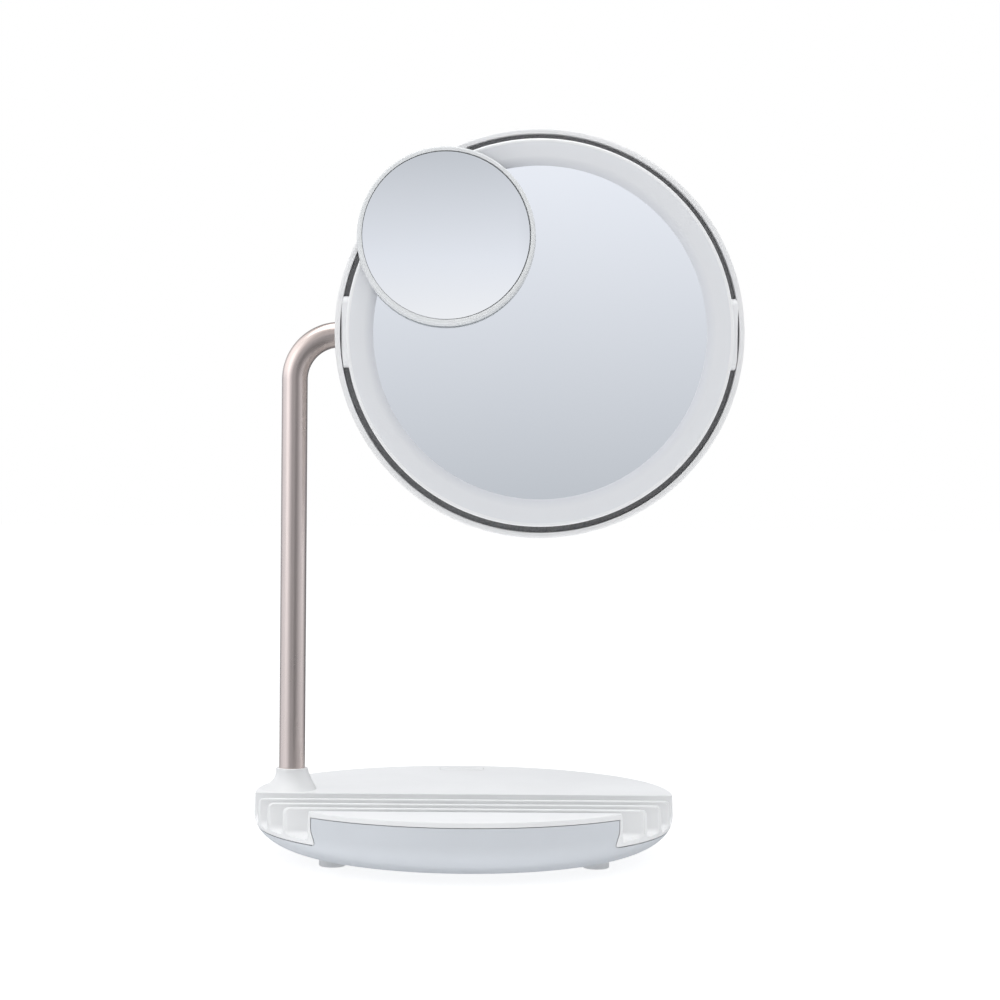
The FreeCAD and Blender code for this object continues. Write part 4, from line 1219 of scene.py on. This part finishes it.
def silvered(name, share=1.0):
    """Silver behind clear glass: a bright mirror with the faintest haze of wiping marks. The share darkens
    the whole silver; below one it makes a darker copy, painted shade that stands in for a dimmer reflection."""
    finish, tree, shader = new_finish(name)
    place = metres(tree)
    haze = noise(tree, place, haze_scale)
    tone = ramp(tree, haze, (noise_low, share * silver_dull), (noise_high, share * silver_clean))
    tree.links.new(tone, shader.inputs["Base Color"])
    vary_gloss(tree, shader, noise(tree, place, wipe_scale), mirror_gloss)
    shader.inputs["Metallic"].default_value = 1.0
    return finish


def anodised():
    """Rose-gold anodised tube: fine drawing lines along it and a satin metal gloss."""
    finish, tree, shader = new_finish("rose_gold_anodised")
    lines = noise(tree, metres(tree, line_stretch, "UV"), line_scale, 2)
    drift = noise(tree, metres(tree), tube_drift_scale)
    tone = ramp(tree, lines, (noise_low, gold_dark), (noise_high, gold_light))
    tree.links.new(tone, shader.inputs["Base Color"])
    vary_gloss(tree, shader, drift, tube_gloss)
    grain(tree, shader, lines, line_depth)
    shader.inputs["Metallic"].default_value = 1.0
    return finish


finishes["silvered_glass"] = silvered("silvered_mirror")
finishes["champagne_tube"] = anodised()
print("outside finishes", sorted(finishes))

# %% [markdown]
# ## Finishes of the inside
# The inner pieces show only when the part is taken to bits, but they keep honest finishes all the same:
# rubber, felt, plated steel, dull plastic, white board, cell wrap, lamp chips and the lead's jacket. They
# need the same few steps, so each is one row of a table: name, two tones, gloss, scale and relief.

# %% Plain finishes


def plain_finish(name, dark, light, gloss, scale, relief, metal=0.0):
    """Two tones mixed by noise, a gloss that varies three times as finely, and a relief eight times as
    fine: enough for a piece seen close."""
    finish, tree, shader = new_finish(name)
    place = metres(tree)
    tone = ramp(tree, noise(tree, place, scale), (noise_low, dark), (noise_high, light))
    tree.links.new(tone, shader.inputs["Base Color"])
    vary_gloss(tree, shader, noise(tree, place, scale * 3), gloss)
    grain(tree, shader, noise(tree, place, scale * 8), relief)
    shader.inputs["Metallic"].default_value = metal
    return finish


felt_relief = 200 * micron
felt_gloss = (0.9, 1.0)
inside = {
    "grey_rubber": ("foot_rubber", (0.84, 0.845, 0.85), (0.90, 0.905, 0.91), (0.7, 0.85), 300, 40 * micron),
    "felt_pad": ("soft_felt", (0.11, 0.11, 0.115), (0.17, 0.17, 0.175), felt_gloss, 900, felt_relief),
    "zinc_steel": ("zinc_plate", (0.58, 0.59, 0.60), (0.68, 0.69, 0.70), (0.28, 0.42), 180, 10 * micron, 1.0),
    "inner_plastic": ("dull_plastic", (0.66, 0.66, 0.65), (0.74, 0.74, 0.73), (0.5, 0.62), 120, 30 * micron),
    "circuit_board": ("white_board", (0.80, 0.81, 0.79), (0.87, 0.88, 0.86), (0.3, 0.45), 160, 20 * micron),
    "cell_wrap": ("cell_wrap_blue", (0.16, 0.28, 0.46), (0.22, 0.34, 0.53), (0.25, 0.4), 80, 40 * micron),
    "lamp_chip": ("lamp_phosphor", (0.86, 0.80, 0.44), (0.92, 0.87, 0.55), (0.4, 0.6), 700, 30 * micron),
    "lead_jacket": ("lead_vinyl", (0.76, 0.76, 0.75), (0.83, 0.83, 0.82), (0.45, 0.6), 240, 30 * micron),
}
for slot, sample in inside.items():
    finishes[slot] = plain_finish(*sample)
print("inside finishes", len(inside))

# %% [markdown]
# ## Dressing the pieces
# Solids and pieces take the finish of their slot. Two pieces get a tone of their own, both painted shade: the
# magnifier's silver is a darker copy of the main mirror's for its dimmer reflection, and the dark strip in
# the gap is a paler grey than the felt pad, set to the shade in the gap.

# %% Dressing
for part in frame["record"]["subparts"]:
    node = frame["nodes"][part["node"]]
    node.data.materials.clear()
    node.data.materials.append(finishes[part["material_slot"]])
for piece in made.values():
    piece.data.materials.clear()
    piece.data.materials.append(finishes[piece["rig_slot"]])
# Painted shade: the magnifier takes a darker copy of the silver, for its dimmer reflection.
made["magnifier_glass"].data.materials[0] = silvered("magnifier_silver_painted_shade", magnifier_shade_share)
# Painted shade: a paler grey for the strip, set to the shade in the gap.
made["gap_shade_strip"].data.materials[0] = plain_finish(
    "gap_painted_shade", (0.19, 0.19, 0.195), (0.28, 0.28, 0.285), felt_gloss, 900, felt_relief)
print("finishes", len(finishes), "pieces dressed", len(made), "solids dressed", len(frame["nodes"]))

# %% [markdown]
# ## Floor
# The object stands on a plain white floor. For the camera the floor is a share of plain glow and a share
# of real shading, so it reads white and still keeps the object's soft shadow. More light would also make
# it white, but it would bleach the object too. Other rays meet a white table with a weak glow.

# %% Floor helpers


def lit_white(tree, level, strength):
    """A plain pale surface with a glow of its own: diffuse shading plus an even emission."""
    shade = tree.nodes.new("ShaderNodeBsdfDiffuse")
    shade.inputs["Color"].default_value = (level, level, level, 1)
    glow = tree.nodes.new("ShaderNodeEmission")
    glow.inputs["Strength"].default_value = strength
    both = tree.nodes.new("ShaderNodeAddShader")
    tree.links.new(shade.outputs["BSDF"], both.inputs[0])
    tree.links.new(glow.outputs["Emission"], both.inputs[1])
    return both.outputs["Shader"]


def choose(tree, share, first, second):
    """The first shader where the share is nought and the second where it is one."""
    node = tree.nodes.new("ShaderNodeMixShader")
    tree.links.new(share, node.inputs["Fac"])
    tree.links.new(first, node.inputs[1])
    tree.links.new(second, node.inputs[2])
    return node.outputs["Shader"]


def camera_share(tree, path):
    """One for the camera's own rays and for rays through clear material, nought for all others."""
    clear = tree.nodes.new("ShaderNodeMath")
    clear.operation = "MAXIMUM"
    tree.links.new(path.outputs["Is Camera Ray"], clear.inputs[0])
    tree.links.new(path.outputs["Is Transmission Ray"], clear.inputs[1])
    return clear.outputs["Value"]


print("floor helpers ready")

# %% Floor
seen_level = 0.46
seen_glow = 0.77
table_level = 0.85
table_glow = 0.3
floor_reach = 12.0


def white_floor():
    """White for the camera, with a soft shadow. Towards the object it bounces light like a white table
    that is lit from below as well."""
    finish = bpy.data.materials.new("studio_floor")
    finish.use_nodes = True
    tree = finish.node_tree
    tree.nodes.clear()
    output = tree.nodes.new("ShaderNodeOutputMaterial")
    path = tree.nodes.new("ShaderNodeLightPath")
    seen = lit_white(tree, seen_level, seen_glow)
    table = lit_white(tree, table_level, table_glow)
    tree.links.new(choose(tree, camera_share(tree, path), table, seen), output.inputs["Surface"])
    return finish


floor_line = np.linspace(-floor_reach, floor_reach, 3)
floor_y, floor_x = np.meshgrid(floor_line, floor_line, indexing="ij")
floor_grid = np.stack([floor_x, floor_y, np.zeros_like(floor_x)], axis=-1)
floor_mesh = bpy.data.meshes.new("floor")
floor_mesh.from_pydata(floor_grid.reshape(-1, 3).tolist(), [], grid_faces(3, 3, False, False).tolist())
floor = bpy.data.objects.new("floor", floor_mesh)
bpy.context.scene.collection.objects.link(floor)
floor_mesh.materials.append(white_floor())
floor.visible_glossy = False
print("floor", floor_reach * 2, "metres across")

# %% [markdown]
# ## Surroundings
# The surroundings are white for the camera, while the light that falls on the object stays at a plain
# level, stronger from above than from the front. What mirrors and metal see is a gentle grey that brightens
# with height, like a large studio tent, with a bright panel on each side, a dark card between and a dark
# flag at each rear corner. The flags draw the dark edges of the tube. A photographer hangs such cards by
# hand. Here they are ramps over the direction of a ray, one for each axis, multiplied together.

# %% Surroundings helpers
first_colour = 6
second_colour = 7
mixed_colour = 2


def grey(level):
    """Linear value of a screen grey from 0 to 255: ((share + 0.055) / 1.055)^2.4, the screen's curve."""
    share = level / 255
    return ((share + 0.055) / 1.055) ** 2.4


def multiply(tree, first, second):
    """The product of two colours. The node's colour sockets are found by their numbers."""
    node = tree.nodes.new("ShaderNodeMix")
    node.data_type = "RGBA"
    node.blend_type = "MULTIPLY"
    node.inputs["Factor"].default_value = 1.0
    tree.links.new(first, node.inputs[first_colour])
    tree.links.new(second, node.inputs[second_colour])
    return node.outputs[mixed_colour]


def background(tree, colour):
    """Surroundings of a given colour."""
    node = tree.nodes.new("ShaderNodeBackground")
    tree.links.new(colour, node.inputs["Color"])
    return node.outputs["Background"]


def grey_stops(stops):
    """Stops of (place, level) turned into stops of (place, colour)."""
    return [(place, (level, level, level)) for place, level in stops]


print("middle grey", round(grey(128), 3))

# %% Levels of the surroundings
tent_stops = [
    (0.0, (205, 208, 212)), (0.25, (196, 200, 206)), (0.40, (238, 241, 248)),
    (0.47, (249, 250, 253)), (1.0, (250, 251, 253)),
]
card_stops = [
    (0.0, 2.05), (0.075, 2.15), (0.20, 1.75), (0.36, 0.85), (0.43, 0.75), (0.46, 1.0), (0.565, 0.97),
    (0.61, 0.50), (0.75, 0.58), (0.875, 1.15), (0.975, 1.7),
]
flag_stops = [(0.55, 1.0), (0.65, 0.97), (0.785, 0.70), (0.86, 0.38), (0.90, 0.38), (0.94, 1.0)]
light_stops = [(0.25, (0.06, 0.065, 0.07)), (0.6, (0.26, 0.265, 0.275)), (1.0, (0.74, 0.75, 0.76))]
print("stops", len(tent_stops), len(card_stops), len(flag_stops), len(light_stops))

# %% Surroundings
world = bpy.data.worlds.new("studio")
bpy.context.scene.world = world
world.use_nodes = True
sky = world.node_tree
sky.nodes.clear()
direction = sky.nodes.new("ShaderNodeTexCoord")
parts = sky.nodes.new("ShaderNodeSeparateXYZ")
sky.links.new(direction.outputs["Generated"], parts.inputs["Vector"])
ray_height = remap(sky, parts.outputs["Z"], (-0.25, 0.75))
ray_side = remap(sky, parts.outputs["X"], (-1, 1))
ray_depth = remap(sky, parts.outputs["Y"], (-1, 1))
tent = ramp(sky, ray_height, *[(place, grey(np.array(levels))) for place, levels in tent_stops])
cards = ramp(sky, ray_side, *grey_stops(card_stops))
flags = ramp(sky, ray_depth, *grey_stops(flag_stops))
mirrored = background(sky, multiply(sky, multiply(sky, tent, cards), flags))
soft = background(sky, ramp(sky, ray_height, *light_stops))
white = sky.nodes.new("ShaderNodeBackground")
white.inputs["Color"].default_value = (1, 1, 1, 1)
path = sky.nodes.new("ShaderNodeLightPath")
around = choose(sky, path.outputs["Is Glossy Ray"], soft, mirrored)
seen = choose(sky, camera_share(sky, path), around, white.outputs["Background"])
surface = sky.nodes.new("ShaderNodeOutputWorld")
sky.links.new(seen, surface.inputs["Surface"])
print("surroundings nodes", len(sky.nodes))

# %% [markdown]
# ## Lamps
# Three soft boxes light the object: a large one above, and a weak one on each side that lifts the sides of
# base and ring. Area lamps give soft shadows like a real studio's boxes, where a point lamp would
# draw hard edges. Each is turned from the line between its place and its target.

# %% Lamps


def soft_box(name, place, target, size, watts):
    """A rectangular soft box that faces a target. A lamp shines down its own Z axis, so it is tipped by
    acos(-aim z) and turned by atan2(aim x, -aim y) + pi."""
    lamp = bpy.data.lights.new(name, "AREA")
    lamp.shape = "RECTANGLE"
    lamp.size, lamp.size_y = size
    lamp.energy = watts
    box = bpy.data.objects.new(name, lamp)
    bpy.context.scene.collection.objects.link(box)
    box.location = place
    aim = np.asarray(target) - np.asarray(place)
    aim = aim / np.linalg.norm(aim)
    turn = math.atan2(aim[0], -aim[1])
    tip = math.acos(np.clip(-aim[2], -1, 1))
    box.rotation_euler = (tip, 0, turn + math.pi)
    print(name, watts, "watts")


soft_box("top_box", (-0.10, -0.15, 1.5), (0, 0, 0.1), (1.4, 1.2), 12.5)
soft_box("left_box", (-1.25, -0.75, 0.55), (0, 0, 0.2), (0.7, 1.1), 1.4)
soft_box("right_box", (1.45, 0.10, 0.5), (0, 0, 0.2), (0.7, 1.0), 1.0)

# %% [markdown]
# ## Camera
# The camera looks level from the front, from a little above the ring's lower edge and a metre away. Its
# shift sets the object in the frame without turning the camera, so upright lines stay parallel. A roll of
# less than half a degree gives the slight lean that the object has in the frame.

# %% Camera
lens = bpy.data.cameras.new("studio_camera")
lens.lens = 76.6
lens.sensor_width = 36.0
lens.clip_end = 100
lens.shift_x = 0.0588
camera = bpy.data.objects.new("studio_camera", lens)
bpy.context.scene.collection.objects.link(camera)
camera.location = (-0.012, -1.042, 0.1726)
camera.rotation_euler = (math.radians(90), math.radians(-0.42), 0)
bpy.context.scene.camera = camera
bpy.context.scene.view_settings.view_transform = "Standard"
print("camera at", tuple(round(value, 4) for value in camera.location))
